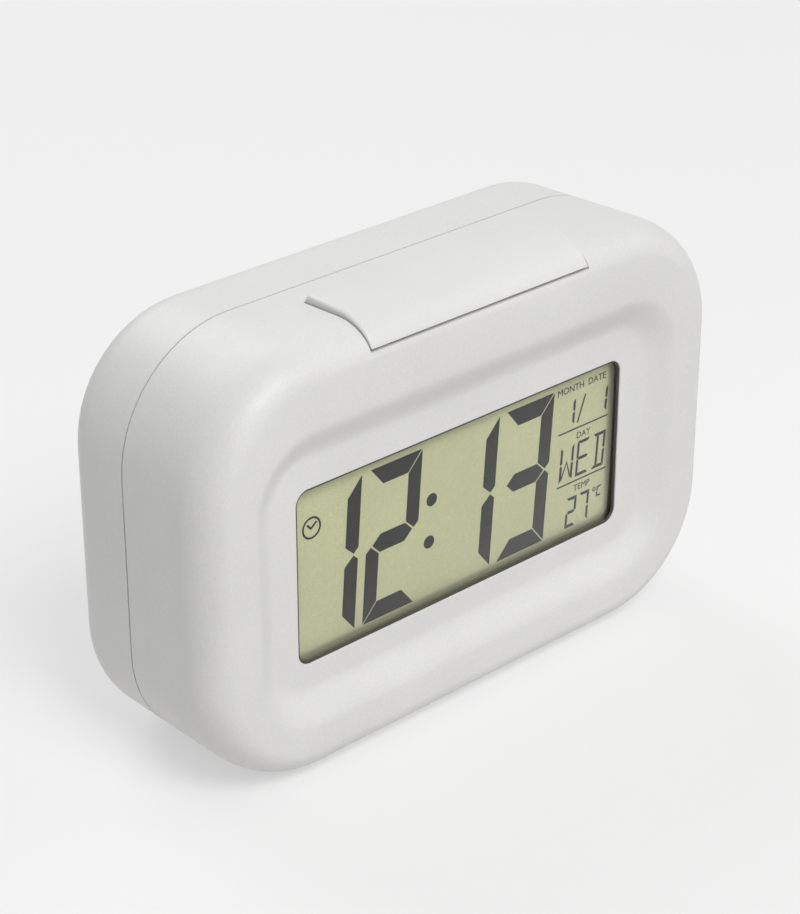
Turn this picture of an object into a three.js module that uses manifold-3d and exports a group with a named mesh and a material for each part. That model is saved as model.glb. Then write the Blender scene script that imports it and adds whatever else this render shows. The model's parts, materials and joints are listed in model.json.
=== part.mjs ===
// A battery table clock: a liquid crystal display in a dished front, a snooze bar on top, keys at the back.
// Millimetres, +Z up. The display faces -Y and the clock stands on Z = 0.
// Depths are written from the front crest backwards, and the finished group is centred on Y at the end.
import * as THREE from "three";
import { mergeVertices } from "three/addons/utils/BufferGeometryUtils.js";
import Module from "manifold-3d";

const wasm = await Module();
wasm.setup();

// Driving dimensions of the case
const caseWidth = 136;
const caseHeight = 90;
const caseDepth = 46;
const cornerRadius = 26.5;
const wall = 2;
const frontRoundDepth = 9;
const frontRoundInset = 6;
const backRound = 9;
const draft = 1;
const partingDepth = 26;
const partingGap = 0.3;
const lipLength = 1.5;

// Driving dimensions of the dished front
const windowMargin = 24;
const windowHeight = 37.5;
const windowDrop = 3.5;
const windowRadius = 3;
const panelDepth = 4.5;
const panelRadius = 8;
const panelMarginSide = 5.5;
const panelMarginTop = 6.1;
const panelMarginBottom = 4.6;
const slopeRunSide = 8.1;
const slopeRunTop = 8.8;
const slopeRunBottom = 8;
const rimRadius = 16;
const rimDip = 0.6;

// Driving dimensions of the display stack
const lensLip = 0.6;
const lensThickness = 0.8;
const lensLedge = 2;
const glassThickness = 0.7;
const glassMargin = 4;
const contactLedge = 2.5;
const cellGap = 0.1;
const guideThickness = 3;
const guideMargin = 2;
const holderRim = 3;
const holderBackWall = 1;
const zebraThickness = 2;
const boardThickness = 1.6;

// Driving dimensions of the snooze bar and the keys
const barWidth = 57.2;
const barLength = 18;
const barProud = 1.3;
const barLipProud = 0.35;
const barLipDrop = 3.8;
const barShell = 1.6;
const barHook = 1.2;
const barSkirt = 4.5;
const barTravel = 0.6;
const snoozeSpacing = 36;
const keyPitch = 16;
const keyHeight = 59;
const keyDiameter = 7;
const keyFlange = 1.2;
const keyProud = 1.2;
const keyTravel = 0.5;

// Driving dimensions of the battery bay
const cellDiameter = 10.5;
const cellLength = 44.5;
const cellPitch = 11.1;
const bayBottom = 11.5;
const bayWall = 2.4;
const springLength = 5.4;
const springTurns = 4;
const springWire = 0.7;
const contactSheet = 0.4;
const doorLedge = 1.2;

// Driving dimensions of the fasteners, the sounder and the leads
const caseScrewInset = 7.5;
const caseScrewSpacing = 40;
const caseScrewRadius = 1.2;
const caseScrewLength = 12;
const postRadius = 3;
const rearPostRadius = 3.8;
const boardScrewRadius = 1.1;
const boardScrewLength = 6;
const bossRadius = 2.6;
const sounderRadius = 10;
const leadDiameter = 1.2;
const ribbonWidth = 10;
const ribbonThickness = 0.8;
const ribbonRise = 10;

// Places on the main board, measured in from its ends and up from its lower edge
const sounderPadInset = 16.8;
const batteryPadInset = 20.8;
const padPitch = 6;
const sounderPadRise = 35.55;
const redPadRise = 25.55;
const blackPadRise = 7.55;
const chipX = 6;
const chipRise = 21.55;
const crystalX = 18;
const beadInset = 12.8;
const beadRise = 9.55;

// Clearances
const seat = 0.2;
const clear = 0.3;

// Facets
const cornerSteps = 8;
const roundSteps = 6;
const slopeSteps = 4;

// Values worked out from the driving dimensions
const midHeight = caseHeight / 2;
const windowWidth = caseWidth - 2 * windowMargin;
const windowMiddle = midHeight - windowDrop;
const panelBack = panelDepth + wall;
const lensSeat = panelDepth + lensLip;
const lensFront = lensSeat + seat / 2;
const glassFront = lensFront + lensThickness + seat;
const rearGlassFront = glassFront + glassThickness + cellGap;
const guideFront = rearGlassFront + glassThickness + clear;
const holderBack = guideFront + guideThickness + seat + holderBackWall;
const boardFront = holderBack + seat;
const boardBack = boardFront + boardThickness;
const glassWidth = windowWidth + 2 * glassMargin;
const glassHeight = windowHeight + 2 * (contactLedge + guideMargin);
const holderHalfWidth = glassWidth / 2 + clear + holderRim;
const holderHalfHeight = glassHeight / 2 + clear + holderRim;
const bossX = holderHalfWidth + clear + bossRadius;
const boardHalfWidth = bossX + bossRadius;
const boardHalfHeight = holderHalfHeight + holderRim;
const bossRise = boardHalfHeight - bossRadius;
const boardTop = windowMiddle + boardHalfHeight;
const boardBottom = windowMiddle - boardHalfHeight;
const backInner = caseDepth - wall;

// Turns a three.js geometry into a solid, with shared corners merged and collapsed triangles dropped.
function solidFrom(geometry) {
  geometry.deleteAttribute("normal");
  geometry.deleteAttribute("uv");
  const merged = mergeVertices(geometry, 1e-4);
  const index = merged.index.array;
  const triangles = [];
  for (let i = 0; i < index.length; i += 3) {
    const [a, b, c] = index.slice(i, i + 3);
    if (a !== b && b !== c && c !== a) triangles.push(a, b, c);
  }
  return new wasm.Manifold(
    new wasm.Mesh({
      numProp: 3,
      vertProperties: new Float32Array(merged.attributes.position.array),
      triVerts: new Uint32Array(triangles),
    }),
  );
}

// Joins any number of solids.
function join(...solids) {
  return solids.reduce((whole, next) => whole.add(next));
}

// Cuts any number of solids from the first.
function cut(body, ...tools) {
  return tools.reduce((rest, tool) => rest.subtract(tool), body);
}

// A box between two corners.
function block(x0, x1, y0, y1, z0, z1) {
  const box = new THREE.BoxGeometry(x1 - x0, y1 - y0, z1 - z0);
  return solidFrom(box.translate((x0 + x1) / 2, (y0 + y1) / 2, (z0 + z1) / 2));
}

// A round rod along Y, from depth y0 to y1.
function rodY(radius, x, z, y0, y1, sides = 16) {
  const rod = new THREE.CylinderGeometry(radius, radius, y1 - y0, sides);
  return solidFrom(rod.translate(x, (y0 + y1) / 2, z));
}

// A round rod along X.
function rodX(radius, y, z, x0, x1, sides = 24) {
  const rod = new THREE.CylinderGeometry(radius, radius, x1 - x0, sides).rotateZ(Math.PI / 2);
  return solidFrom(rod.translate((x0 + x1) / 2, y, z));
}

// A rectangle with round corners, drawn across X and Z.
function roundedShape(halfWidth, bottom, top, radius) {
  const r = Math.max(0.05, Math.min(radius, halfWidth - 0.01, (top - bottom) / 2 - 0.01));
  const shape = new THREE.Shape();
  shape.absarc(halfWidth - r, bottom + r, r, -Math.PI / 2, 0);
  shape.absarc(halfWidth - r, top - r, r, 0, Math.PI / 2);
  shape.absarc(r - halfWidth, top - r, r, Math.PI / 2, Math.PI);
  shape.absarc(r - halfWidth, bottom + r, r, Math.PI, Math.PI * 1.5);
  return shape;
}

// A plate with round corners that faces the front, from depth y0 to y1.
function plate(halfWidth, bottom, top, radius, y0, y1, steps = 3) {
  const shape = roundedShape(halfWidth, bottom, top, radius);
  const options = { depth: y1 - y0, bevelEnabled: false, curveSegments: steps };
  const body = new THREE.ExtrudeGeometry(shape, options).rotateX(Math.PI / 2);
  return solidFrom(body.translate(0, y1, 0));
}

// A profile drawn across Y and Z, drawn out along X.
function barX(points, x0, x1) {
  const shape = new THREE.Shape(points.map(([y, z]) => new THREE.Vector2(y, z)));
  const body = new THREE.ExtrudeGeometry(shape, { depth: x1 - x0, bevelEnabled: false });
  const turn = new THREE.Matrix4().makeBasis(
    new THREE.Vector3(0, 1, 0),
    new THREE.Vector3(0, 0, 1),
    new THREE.Vector3(1, 0, 0),
  );
  return solidFrom(body.applyMatrix4(turn).translate(x0, 0, 0));
}

// A skin stretched over rings of equally many points, with a fan closing each end.
function loft(rings) {
  const count = rings[0].length;
  const positions = rings.flat();
  const index = [];
  for (let r = 0; r + 1 < rings.length; r += 1) {
    for (let i = 0; i < count; i += 1) {
      const j = (i + 1) % count;
      const a = r * count;
      const b = a + count;
      index.push(a + i, b + j, b + i, a + i, a + j, b + j);
    }
  }
  for (const [ring, start, facing] of [
    [rings[0], 0, -1],
    [rings.at(-1), positions.length - count, 1],
  ]) {
    const middle = positions.length;
    const sum = ring.reduce((total, p) => total.add(p), new THREE.Vector3());
    positions.push(sum.divideScalar(count));
    for (let i = 0; i < count; i += 1) {
      const pair = [start + i, start + ((i + 1) % count)];
      if (facing < 0) pair.reverse();
      index.push(middle, ...pair);
    }
  }
  const skin = new THREE.BufferGeometry().setFromPoints(positions);
  skin.setIndex(index);
  return solidFrom(skin);
}

// A ring of the case: a rectangle with round corners at one depth.
function ring({ halfWidth, bottom, top, radius, y }) {
  const r = Math.max(radius, 0.5);
  const corners = [
    [halfWidth - r, bottom + r, -Math.PI / 2],
    [halfWidth - r, top - r, 0],
    [r - halfWidth, top - r, Math.PI / 2],
    [r - halfWidth, bottom + r, Math.PI],
  ];
  return corners.flatMap(([x, z, start]) =>
    Array.from({ length: cornerSteps + 1 }, (_, i) => {
      const angle = start + (i / cornerSteps) * (Math.PI / 2);
      return new THREE.Vector3(x + r * Math.cos(angle), y, z + r * Math.sin(angle));
    }),
  );
}

// The case outline drawn in by one amount at the sides and top, and by another at the flat base.
function outline(y, inset, baseInset) {
  return {
    halfWidth: caseWidth / 2 - inset,
    bottom: baseInset,
    top: caseHeight - inset,
    radius: cornerRadius - inset,
    y,
  };
}

// How far the sides have drawn in at a depth.
function drawnIn(y) {
  return (draft * (y - frontRoundDepth)) / (caseDepth - backRound - frontRoundDepth);
}

// The two edges of the dish: the inner edge of the rim, and the edge of the flat panel.
const windowBottom = windowMiddle - windowHeight / 2;
const windowTop = windowMiddle + windowHeight / 2;
const panelEdge = {
  halfWidth: windowWidth / 2 + panelMarginSide,
  bottom: windowBottom - panelMarginBottom,
  top: windowTop + panelMarginTop,
  radius: panelRadius,
  y: panelDepth,
};
const rimEdge = {
  halfWidth: panelEdge.halfWidth + slopeRunSide,
  bottom: panelEdge.bottom - slopeRunBottom,
  top: panelEdge.top + slopeRunTop,
  radius: rimRadius,
  y: rimDip,
};

// The slope between them starts and ends softly.
function dishRings(offset) {
  return Array.from({ length: slopeSteps + 1 }, (_, i) => {
    const share = i / slopeSteps;
    const soft = share * share * (3 - 2 * share);
    const at = {};
    for (const key of ["halfWidth", "bottom", "top", "radius"]) {
      at[key] = THREE.MathUtils.lerp(rimEdge[key], panelEdge[key], share);
    }
    at.y = THREE.MathUtils.lerp(rimEdge.y, panelEdge.y, soft) + offset;
    return at;
  });
}

// The outside of the front half, or with a thickness, the hollow inside it.
function frontBody(thickness, back) {
  const rings = [outline(back, drawnIn(back) + thickness, thickness)];
  for (let i = 0; i <= roundSteps; i += 1) {
    const angle = (i / roundSteps) * (Math.PI / 2);
    const inset = frontRoundInset * (1 - Math.cos(angle)) + thickness * Math.cos(angle);
    const depth = frontRoundDepth * (1 - Math.sin(angle)) + thickness * Math.sin(angle);
    rings.push(outline(depth, inset, inset));
  }
  return loft([...rings, ...dishRings(thickness)].map(ring));
}

// The outside of the rear half, or with a thickness, the hollow inside it.
function rearBody(thickness, front) {
  const shoulder = caseDepth - backRound;
  const rings = [outline(front, drawnIn(front) + thickness, thickness)];
  for (let i = 0; i <= roundSteps; i += 1) {
    const angle = (i / roundSteps) * (Math.PI / 2);
    const fall = (backRound - thickness) * (1 - Math.cos(angle)) + thickness;
    rings.push(outline(shoulder + (backRound - thickness) * Math.sin(angle), draft + fall, fall));
  }
  return loft(rings.map(ring).reverse());
}

// Screw places: four through the case, four through the main board.
const caseScrews = [-1, 1].flatMap((sideX) =>
  [-1, 1].map((sideZ) => ({
    x: sideX * (caseWidth / 2 - caseScrewInset),
    z: midHeight + (sideZ * caseScrewSpacing) / 2,
  })),
);
const boardScrews = [-1, 1].flatMap((sideX) =>
  [-1, 1].map((sideZ) => ({ x: sideX * bossX, z: windowMiddle + sideZ * bossRise })),
);

// The opening in the top of the case that the snooze bar works in
const lipAngle = Math.acos(1 - barLipDrop / frontRoundInset);
const barHalf = barWidth / 2;
const barFront = frontRoundDepth * (1 - Math.sin(lipAngle));
const barBack = barFront + barLength;
const barLipHeight = caseHeight - barLipDrop;
const openingHalf = barHalf + clear;
const openingBack = barBack + clear;
const openingFloor = barLipHeight - barTravel - seat / 2;
const shaftFront = barFront + wall;
const collarWall = 1.2;
const collarBottom = caseHeight - barSkirt - wall;

// The front half: dished face, window, lens rebate, bar opening with its collar, posts and bosses.
function frontCase() {
  const outside = frontBody(0, partingDepth);
  const posts = caseScrews.map(({ x, z }) => rodY(postRadius, x, z, 0, partingDepth));
  const bosses = boardScrews.map(({ x, z }) => rodY(bossRadius, x, z, 0, boardFront - seat));
  const collarSide = openingHalf + collarWall;
  const collarBack = openingBack + collarWall;
  const collar = block(-collarSide, collarSide, 0, collarBack, collarBottom, caseHeight);
  const additions = join(collar, ...posts, ...bosses).intersect(outside);
  const socketDepths = [partingDepth + 1, partingDepth - lipLength - seat];
  const lipSocket = loft(socketDepths.map((y) => ring(outline(y, drawnIn(y) + wall / 2, wall / 2))));
  const shell = cut(outside, frontBody(wall, partingDepth + 1), lipSocket);
  const casePilots = caseScrews.map(({ x, z }) =>
    rodY(caseScrewRadius + seat, x, z, partingDepth - caseScrewLength, partingDepth + 1, 12),
  );
  const boardPilots = boardScrews.map(({ x, z }) =>
    rodY(boardScrewRadius + seat, x, z, boardBack - boardScrewLength - seat, boardBack, 12),
  );
  return cut(
    shell.add(additions),
    block(-openingHalf, openingHalf, -1, openingBack, openingFloor, caseHeight + 1),
    block(-openingHalf, openingHalf, shaftFront, openingBack, collarBottom - 1, caseHeight),
    plate(windowWidth / 2, windowBottom, windowTop, windowRadius, 0, panelBack + 1),
    lensPlate(clear, lensSeat, panelBack + 1),
    glassRebate(glassFront - seat, panelBack + 1),
    ...casePilots,
    ...boardPilots,
  );
}

// The clear lens drops into a rebate from behind and covers the window.
function lensPlate(extra, y0, y1) {
  const reach = lensLedge + extra;
  const halfWidth = windowWidth / 2 + reach;
  return plate(halfWidth, windowBottom - reach, windowTop + reach, windowRadius + reach, y0, y1);
}

// The display: a front glass with its contact ledges, a smaller rear glass, and a lit plate behind.
const rearGlassHalf = glassHeight / 2 - contactLedge - clear;
const zebraRise = glassHeight / 2 - contactLedge / 2;
const guideHalfWidth = windowWidth / 2 + guideMargin;
const guideHalfHeight = windowHeight / 2 + guideMargin / 2;
const zebraHalfWidth = glassWidth / 2 - glassMargin;

// The space that the glass lies in: a rebate in the back of the face, and a pocket in the holder.
function glassRebate(y0, y1) {
  const half = glassHeight / 2 + clear;
  return plate(glassWidth / 2 + clear, windowMiddle - half, windowMiddle + half, 0.5, y0, y1, 1);
}

function glass(halfHeight, y0) {
  const bottom = windowMiddle - halfHeight;
  return plate(glassWidth / 2, bottom, windowMiddle + halfHeight, 0.4, y0, y0 + glassThickness, 1);
}

function lightGuide() {
  const bottom = windowMiddle - guideHalfHeight;
  const top = windowMiddle + guideHalfHeight;
  return plate(guideHalfWidth, bottom, top, 1, guideFront, guideFront + guideThickness, 2);
}

// The strip of conducting rubber that joins a ledge of the front glass to the board.
function zebraStrip(side) {
  const middle = windowMiddle + side * zebraRise;
  const y0 = glassFront + glassThickness + seat / 2;
  const half = zebraThickness / 2;
  return block(-zebraHalfWidth, zebraHalfWidth, y0, boardFront - seat / 2, middle - half, middle + half);
}

// The frame that holds the glass, the strips and the lit plate against the board.
const ledHalfHeight = 1.6;
const ledWidth = 2;
const ledNear = guideHalfWidth + clear;

function displayHolder() {
  const bottom = windowMiddle - holderHalfHeight;
  const top = windowMiddle + holderHalfHeight;
  const front = panelBack + clear;
  const guideHalf = guideHalfHeight + seat;
  const slots = [-1, 1].map((side) => {
    const middle = windowMiddle + side * zebraRise;
    const half = zebraThickness / 2 + seat;
    const reach = zebraHalfWidth + clear;
    return block(-reach, reach, glassFront, boardBack, middle - half, middle + half);
  });
  const glassPocket = glassRebate(front - 1, guideFront - seat);
  const guidePocket = plate(
    guideHalfWidth + seat,
    windowMiddle - guideHalf,
    windowMiddle + guideHalf,
    1,
    front,
    holderBack - holderBackWall,
    2,
  );
  const ledNotch = block(
    -ledNear - ledWidth - clear,
    -guideHalfWidth,
    guideFront - seat,
    boardFront,
    windowMiddle - ledHalfHeight - clear,
    windowMiddle + ledHalfHeight + clear,
  );
  const frame = plate(holderHalfWidth, bottom, top, 2, front, holderBack);
  return cut(frame, glassPocket, guidePocket, ledNotch, ...slots);
}

// The lamp at the left edge of the lit plate, with its dome towards the plate.
function backlightLed() {
  const middle = guideFront + guideThickness / 2;
  const body = block(
    -ledNear - ledWidth,
    -ledNear - ledWidth / 3,
    guideFront + seat,
    boardFront - seat / 2,
    windowMiddle - ledHalfHeight,
    windowMiddle + ledHalfHeight,
  );
  return body.add(rodX(1, middle, windowMiddle, -ledNear - ledWidth / 2, -ledNear, 10));
}

// The main board, with screw holes and bites round the case posts.
function mainBoard() {
  const holes = boardScrews.map(({ x, z }) =>
    rodY(boardScrewRadius + clear, x, z, boardFront - 1, boardBack + 1, 12),
  );
  const bites = caseScrews.map(({ x, z }) =>
    rodY(postRadius + clear, x, z, boardFront - 1, boardBack + 1),
  );
  const sheet = plate(boardHalfWidth, boardBottom, boardTop, 2, boardFront, boardBack, 3);
  return cut(sheet, ...holes, ...bites);
}

// A turned piece: its profile runs from the axis back to the axis, in pairs of radius and depth.
function turned(profile, x, z, sides = 16) {
  const points = profile.map(([radius, depth]) => new THREE.Vector2(radius, depth));
  return solidFrom(new THREE.LatheGeometry(points, sides).translate(x, 0, z));
}

// The bonded clock chip under its drop of black resin.
const chipRadius = 7;
const chipHeight = 1.7;
const partsFace = boardBack + seat / 2;

function chipCover() {
  const rise = [
    [0, 0],
    [1, 0],
    [0.93, 0.45],
    [0.7, 0.8],
    [0.35, 0.97],
    [0, 1],
  ];
  const profile = rise.map(([r, h]) => [r * chipRadius, partsFace + h * chipHeight]);
  return turned(profile, chipX, boardBottom + chipRise, 20);
}

// The timing crystal, a small metal can lying on the board.
function crystal() {
  const canRadius = 1.5;
  const canLength = 8;
  return rodX(
    canRadius,
    partsFace + canRadius,
    boardBottom + chipRise,
    crystalX,
    crystalX + canLength,
    12,
  );
}

// The bead that feels the room temperature, standing on two leads.
function thermistor() {
  const leadLength = 5;
  const beadRadius = 1.5;
  const x = beadInset - boardHalfWidth;
  const z = boardBottom + beadRise;
  const bead = new THREE.SphereGeometry(beadRadius, 10, 8);
  const leads = [-1, 1].map((side) =>
    rodY(0.3, x + side * 0.8, z, partsFace, partsFace + leadLength + beadRadius, 6),
  );
  return join(solidFrom(bead.translate(x, partsFace + leadLength + beadRadius, z)), ...leads);
}

// The two snooze switches lie on the board with their plungers pointing up past its top edge.
const switchDepth = 3.5;
const switchHalfWidth = 3;
const switchHeight = 4;
const switchRise = 0.8;
const plungerHalf = 1.5;
const plungerThickness = 1.6;
const plungerReach = 1.2;
const plungerRoot = 1.2;
const switchMiddle = boardBack + seat + switchDepth / 2;
const switchTop = boardTop + switchRise;
const plungerTop = switchTop + plungerReach;

function snoozeSwitch(x) {
  const front = switchMiddle - switchDepth / 2;
  const back = switchMiddle + switchDepth / 2;
  const pocketHalf = plungerThickness / 2 + clear;
  const pocketFloor = switchTop - plungerRoot - barTravel - clear;
  const pocketSide = plungerHalf + clear;
  return cut(
    block(x - switchHalfWidth, x + switchHalfWidth, front, back, switchTop - switchHeight, switchTop),
    block(
      x - pocketSide,
      x + pocketSide,
      switchMiddle - pocketHalf,
      switchMiddle + pocketHalf,
      pocketFloor,
      switchTop + 1,
    ),
  );
}

function snoozePlunger(x) {
  const half = plungerThickness / 2;
  return block(
    x - plungerHalf,
    x + plungerHalf,
    switchMiddle - half,
    switchMiddle + half,
    switchTop - plungerRoot,
    plungerTop,
  );
}

// The snooze bar: a hollow cap that follows the case's shoulder, stands proud of it
// and hooks under the collar.
const skirtBottom = collarBottom - clear - barHook;
const barTop = caseHeight + barProud;
const barHollowTop = barTop - 1.5 * barShell;

function snoozeBar() {
  const skirtFront = shaftFront + clear;
  const shoulder = Array.from({ length: roundSteps + 1 }, (_, i) => {
    const angle = lipAngle * (1 - i / roundSteps);
    const proud = THREE.MathUtils.lerp(barProud, barLipProud, angle / lipAngle);
    const normal = new THREE.Vector2(
      -Math.sin(angle) / frontRoundDepth,
      Math.cos(angle) / frontRoundInset,
    ).setLength(proud);
    const y = frontRoundDepth * (1 - Math.sin(angle)) + normal.x;
    const z = caseHeight - frontRoundInset * (1 - Math.cos(angle)) + normal.y;
    return [y, z];
  });
  const edge = barProud * 0.6;
  const body = barX(
    [
      [skirtFront, skirtBottom],
      [skirtFront, barLipHeight],
      [shoulder[0][0], barLipHeight],
      ...shoulder,
      [barBack - edge, barTop],
      [barBack - edge * 0.3, barTop - edge * 0.3],
      [barBack, barTop - edge],
      [barBack, skirtBottom],
    ],
    -barHalf,
    barHalf,
  );
  const hollowHalf = barHalf - barShell;
  const hollow = block(
    -hollowHalf,
    hollowHalf,
    skirtFront + barShell,
    barBack - barShell,
    skirtBottom - 1,
    barHollowTop,
  );
  const hooks = [-1, 1].map((side) => {
    const near = side * hollowHalf;
    const far = side * (openingHalf + collarWall * 0.7);
    const middle = (skirtFront + barBack) / 2;
    const [x0, x1] = [Math.min(near, far), Math.max(near, far)];
    return block(x0, x1, middle - 3, middle + 3, skirtBottom, skirtBottom + barHook);
  });
  const legHalf = plungerHalf + 1;
  const legs = [-1, 1].map((side) => {
    const x = (side * snoozeSpacing) / 2;
    const back = Math.min(barBack, switchMiddle + plungerThickness / 2);
    const front = switchMiddle - plungerThickness / 2;
    return block(x - legHalf, x + legHalf, front, back, plungerTop + seat / 2, barHollowTop + 1);
  });
  return join(cut(body, hollow), ...hooks, ...legs);
}

// The key row on the back: caps through the rear wall, switches behind them on a board of their own.
const keyNames = ["mode", "set", "up", "down"];
const keySwitchHalf = 3;
const keySwitchDepth = 3.5;
const keyPlungerRadius = 1.7;
const keyPlungerReach = 0.8;
const keyPlungerRoot = 1.2;
const keyFlangeRadius = keyDiameter / 2 + 1.2;
const keyBoardThickness = 1.2;
const keyBoardHalfHeight = 6;
const flangeBack = backInner - clear;
const flangeFront = flangeBack - keyFlange;
const keyPlungerBack = flangeFront - seat / 2;
const keySwitchBack = keyPlungerBack - keyPlungerReach;
const keySwitchFront = keySwitchBack - keySwitchDepth;
const keyBoardBack = keySwitchFront - seat / 2;
const keyBoardFront = keyBoardBack - keyBoardThickness;
const keyPlaces = keyNames.map((name, i) => ({ name, x: (i - (keyNames.length - 1) / 2) * keyPitch }));
const keyBossX = ((keyNames.length - 1) / 2) * keyPitch + keyDiameter / 2 + 5.5;
const keyBoardHalfWidth = keyBossX + bossRadius + 1;

function keyButton(x) {
  const radius = keyDiameter / 2;
  const tip = caseDepth + keyProud;
  const soft = 0.5;
  const profile = [
    [0, flangeFront],
    [keyFlangeRadius, flangeFront],
    [keyFlangeRadius, flangeBack],
    [radius, flangeBack],
    [radius, tip - soft],
    [radius - soft * 0.3, tip - soft * 0.3],
    [radius - soft, tip],
    [radius * 0.5, tip - soft * 0.4],
    [0, tip - soft * 0.5],
  ];
  return turned(profile, x, keyHeight, 20);
}

function keyPlunger(x) {
  return rodY(keyPlungerRadius, x, keyHeight, keySwitchBack - keyPlungerRoot, keyPlungerBack, 12);
}

function keySwitch(x) {
  const low = keyHeight - keySwitchHalf;
  const high = keyHeight + keySwitchHalf;
  const pocketFloor = keySwitchBack - keyPlungerRoot - keyTravel - clear;
  return cut(
    block(x - keySwitchHalf, x + keySwitchHalf, keySwitchFront, keySwitchBack, low, high),
    rodY(keyPlungerRadius + clear, x, keyHeight, pocketFloor, keySwitchBack + 1, 12),
  );
}

function keyBoard() {
  const low = keyHeight - keyBoardHalfHeight;
  const high = keyHeight + keyBoardHalfHeight;
  const holes = [-1, 1].map((side) =>
    rodY(boardScrewRadius + clear, side * keyBossX, keyHeight, keyBoardFront - 1, keyBoardBack + 1, 12),
  );
  return cut(plate(keyBoardHalfWidth, low, high, 1.5, keyBoardFront, keyBoardBack, 3), ...holes);
}

// The battery bay: three cells side by side, plus and minus ends by turns, on a ribbed floor.
const cellCount = 3;
const dimple = 0.4;
const plusStack = seat / 2 + contactSheet + dimple + seat;
const minusStack = seat / 2 + contactSheet + springLength + seat;
const bayHalf = (cellLength + plusStack + minusStack) / 2;
const bayTop = bayBottom + cellCount * cellPitch;
const cellDepth = backInner - clear - cellDiameter / 2;
const bayFloor = cellDepth - cellDiameter / 2 - clear;
const bayFloorWall = 1.5;
const bayUnderside = bayFloor - bayFloorWall;
const cellPlaces = Array.from({ length: cellCount }, (_, i) => ({
  z: bayTop - cellPitch * (i + 0.5),
  plusSide: i % 2 === 0 ? -1 : 1,
}));
const tabHalf = 1.5;
const tabReach = 2.5;

// The battery door, its opening, its two foot tabs and its latch tongue.
const doorHalf = bayHalf + doorLedge;
const doorBottom = bayBottom - doorLedge;
const doorTop = bayTop + doorLedge;
const doorInner = backInner + seat / 2;
const doorCorner = 1.5;
const footX = 15;
const footHalf = 3;
const footDrop = 1.4;
const footThickness = 1;
const footBack = backInner - seat;
const tongueHalf = 5;
const tongueLength = 9;
const tongueSlot = 0.8;

function batteryDoor() {
  const panel = plate(doorHalf, doorBottom, doorTop, doorCorner, doorInner, caseDepth);
  const feet = [-1, 1].map((side) => {
    const x = side * footX;
    const rise = doorBottom + doorLedge * 2;
    return join(
      block(x - footHalf, x + footHalf, footBack - footThickness, doorInner + 0.1, doorBottom + 0.2, rise),
      block(
        x - footHalf,
        x + footHalf,
        footBack - footThickness,
        footBack,
        doorBottom - footDrop,
        rise,
      ),
    );
  });
  const slots = [-1, 1].map((side) => {
    const x = side * (tongueHalf + tongueSlot / 2);
    const half = tongueSlot / 2;
    return block(x - half, x + half, doorInner - 1, caseDepth + 1, doorTop - tongueLength, doorTop + 1);
  });
  const scoopRadius = 8;
  const scoopDepth = 0.9;
  const scoop = rodX(
    scoopRadius,
    caseDepth + scoopRadius - scoopDepth,
    doorTop - tongueLength / 2,
    -tongueHalf,
    tongueHalf,
    48,
  );
  return cut(join(panel, ...feet), ...slots, scoop);
}

// The sounder: a brass disc with its ceramic, on a ring inside the rear wall behind the sound holes.
const sounderX = 44;
const sounderHeight = 45;
const sounderLand = 1;
const sounderStandoff = 1.6;
const sounderSheet = 0.4;
const sounderRim = 1.2;
const sounderBack = backInner - sounderStandoff;
const soundHoleRadius = 0.9;
const soundHoleRing = 4;
const soundHoles = 6;

function sounderDisc() {
  const back = sounderBack - seat;
  const profile = [
    [0, back - 2 * sounderSheet],
    [sounderRadius * 0.65, back - 2 * sounderSheet],
    [sounderRadius * 0.65, back - sounderSheet],
    [sounderRadius, back - sounderSheet],
    [sounderRadius, back],
    [0, back],
  ];
  return turned(profile, sounderX, sounderHeight, 32);
}

function sounderRing() {
  const outer = sounderRadius + clear + sounderRim;
  const front = sounderBack - 3 * sounderSheet;
  return cut(
    rodY(outer, sounderX, sounderHeight, front, backInner + 0.5, 32),
    rodY(sounderRadius + clear, sounderX, sounderHeight, front - 1, sounderBack, 32),
    rodY(sounderRadius - sounderLand, sounderX, sounderHeight, front, backInner, 32),
  );
}

// The rear half: rounded shell with its lip, screw posts, key holes, sounder ring and battery bay.
const rearFront = partingDepth + partingGap;
const screwSeat = partingDepth + 4;
const screwHeadRadius = 2.4;
const screwHeadHeight = 1.6;

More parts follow.
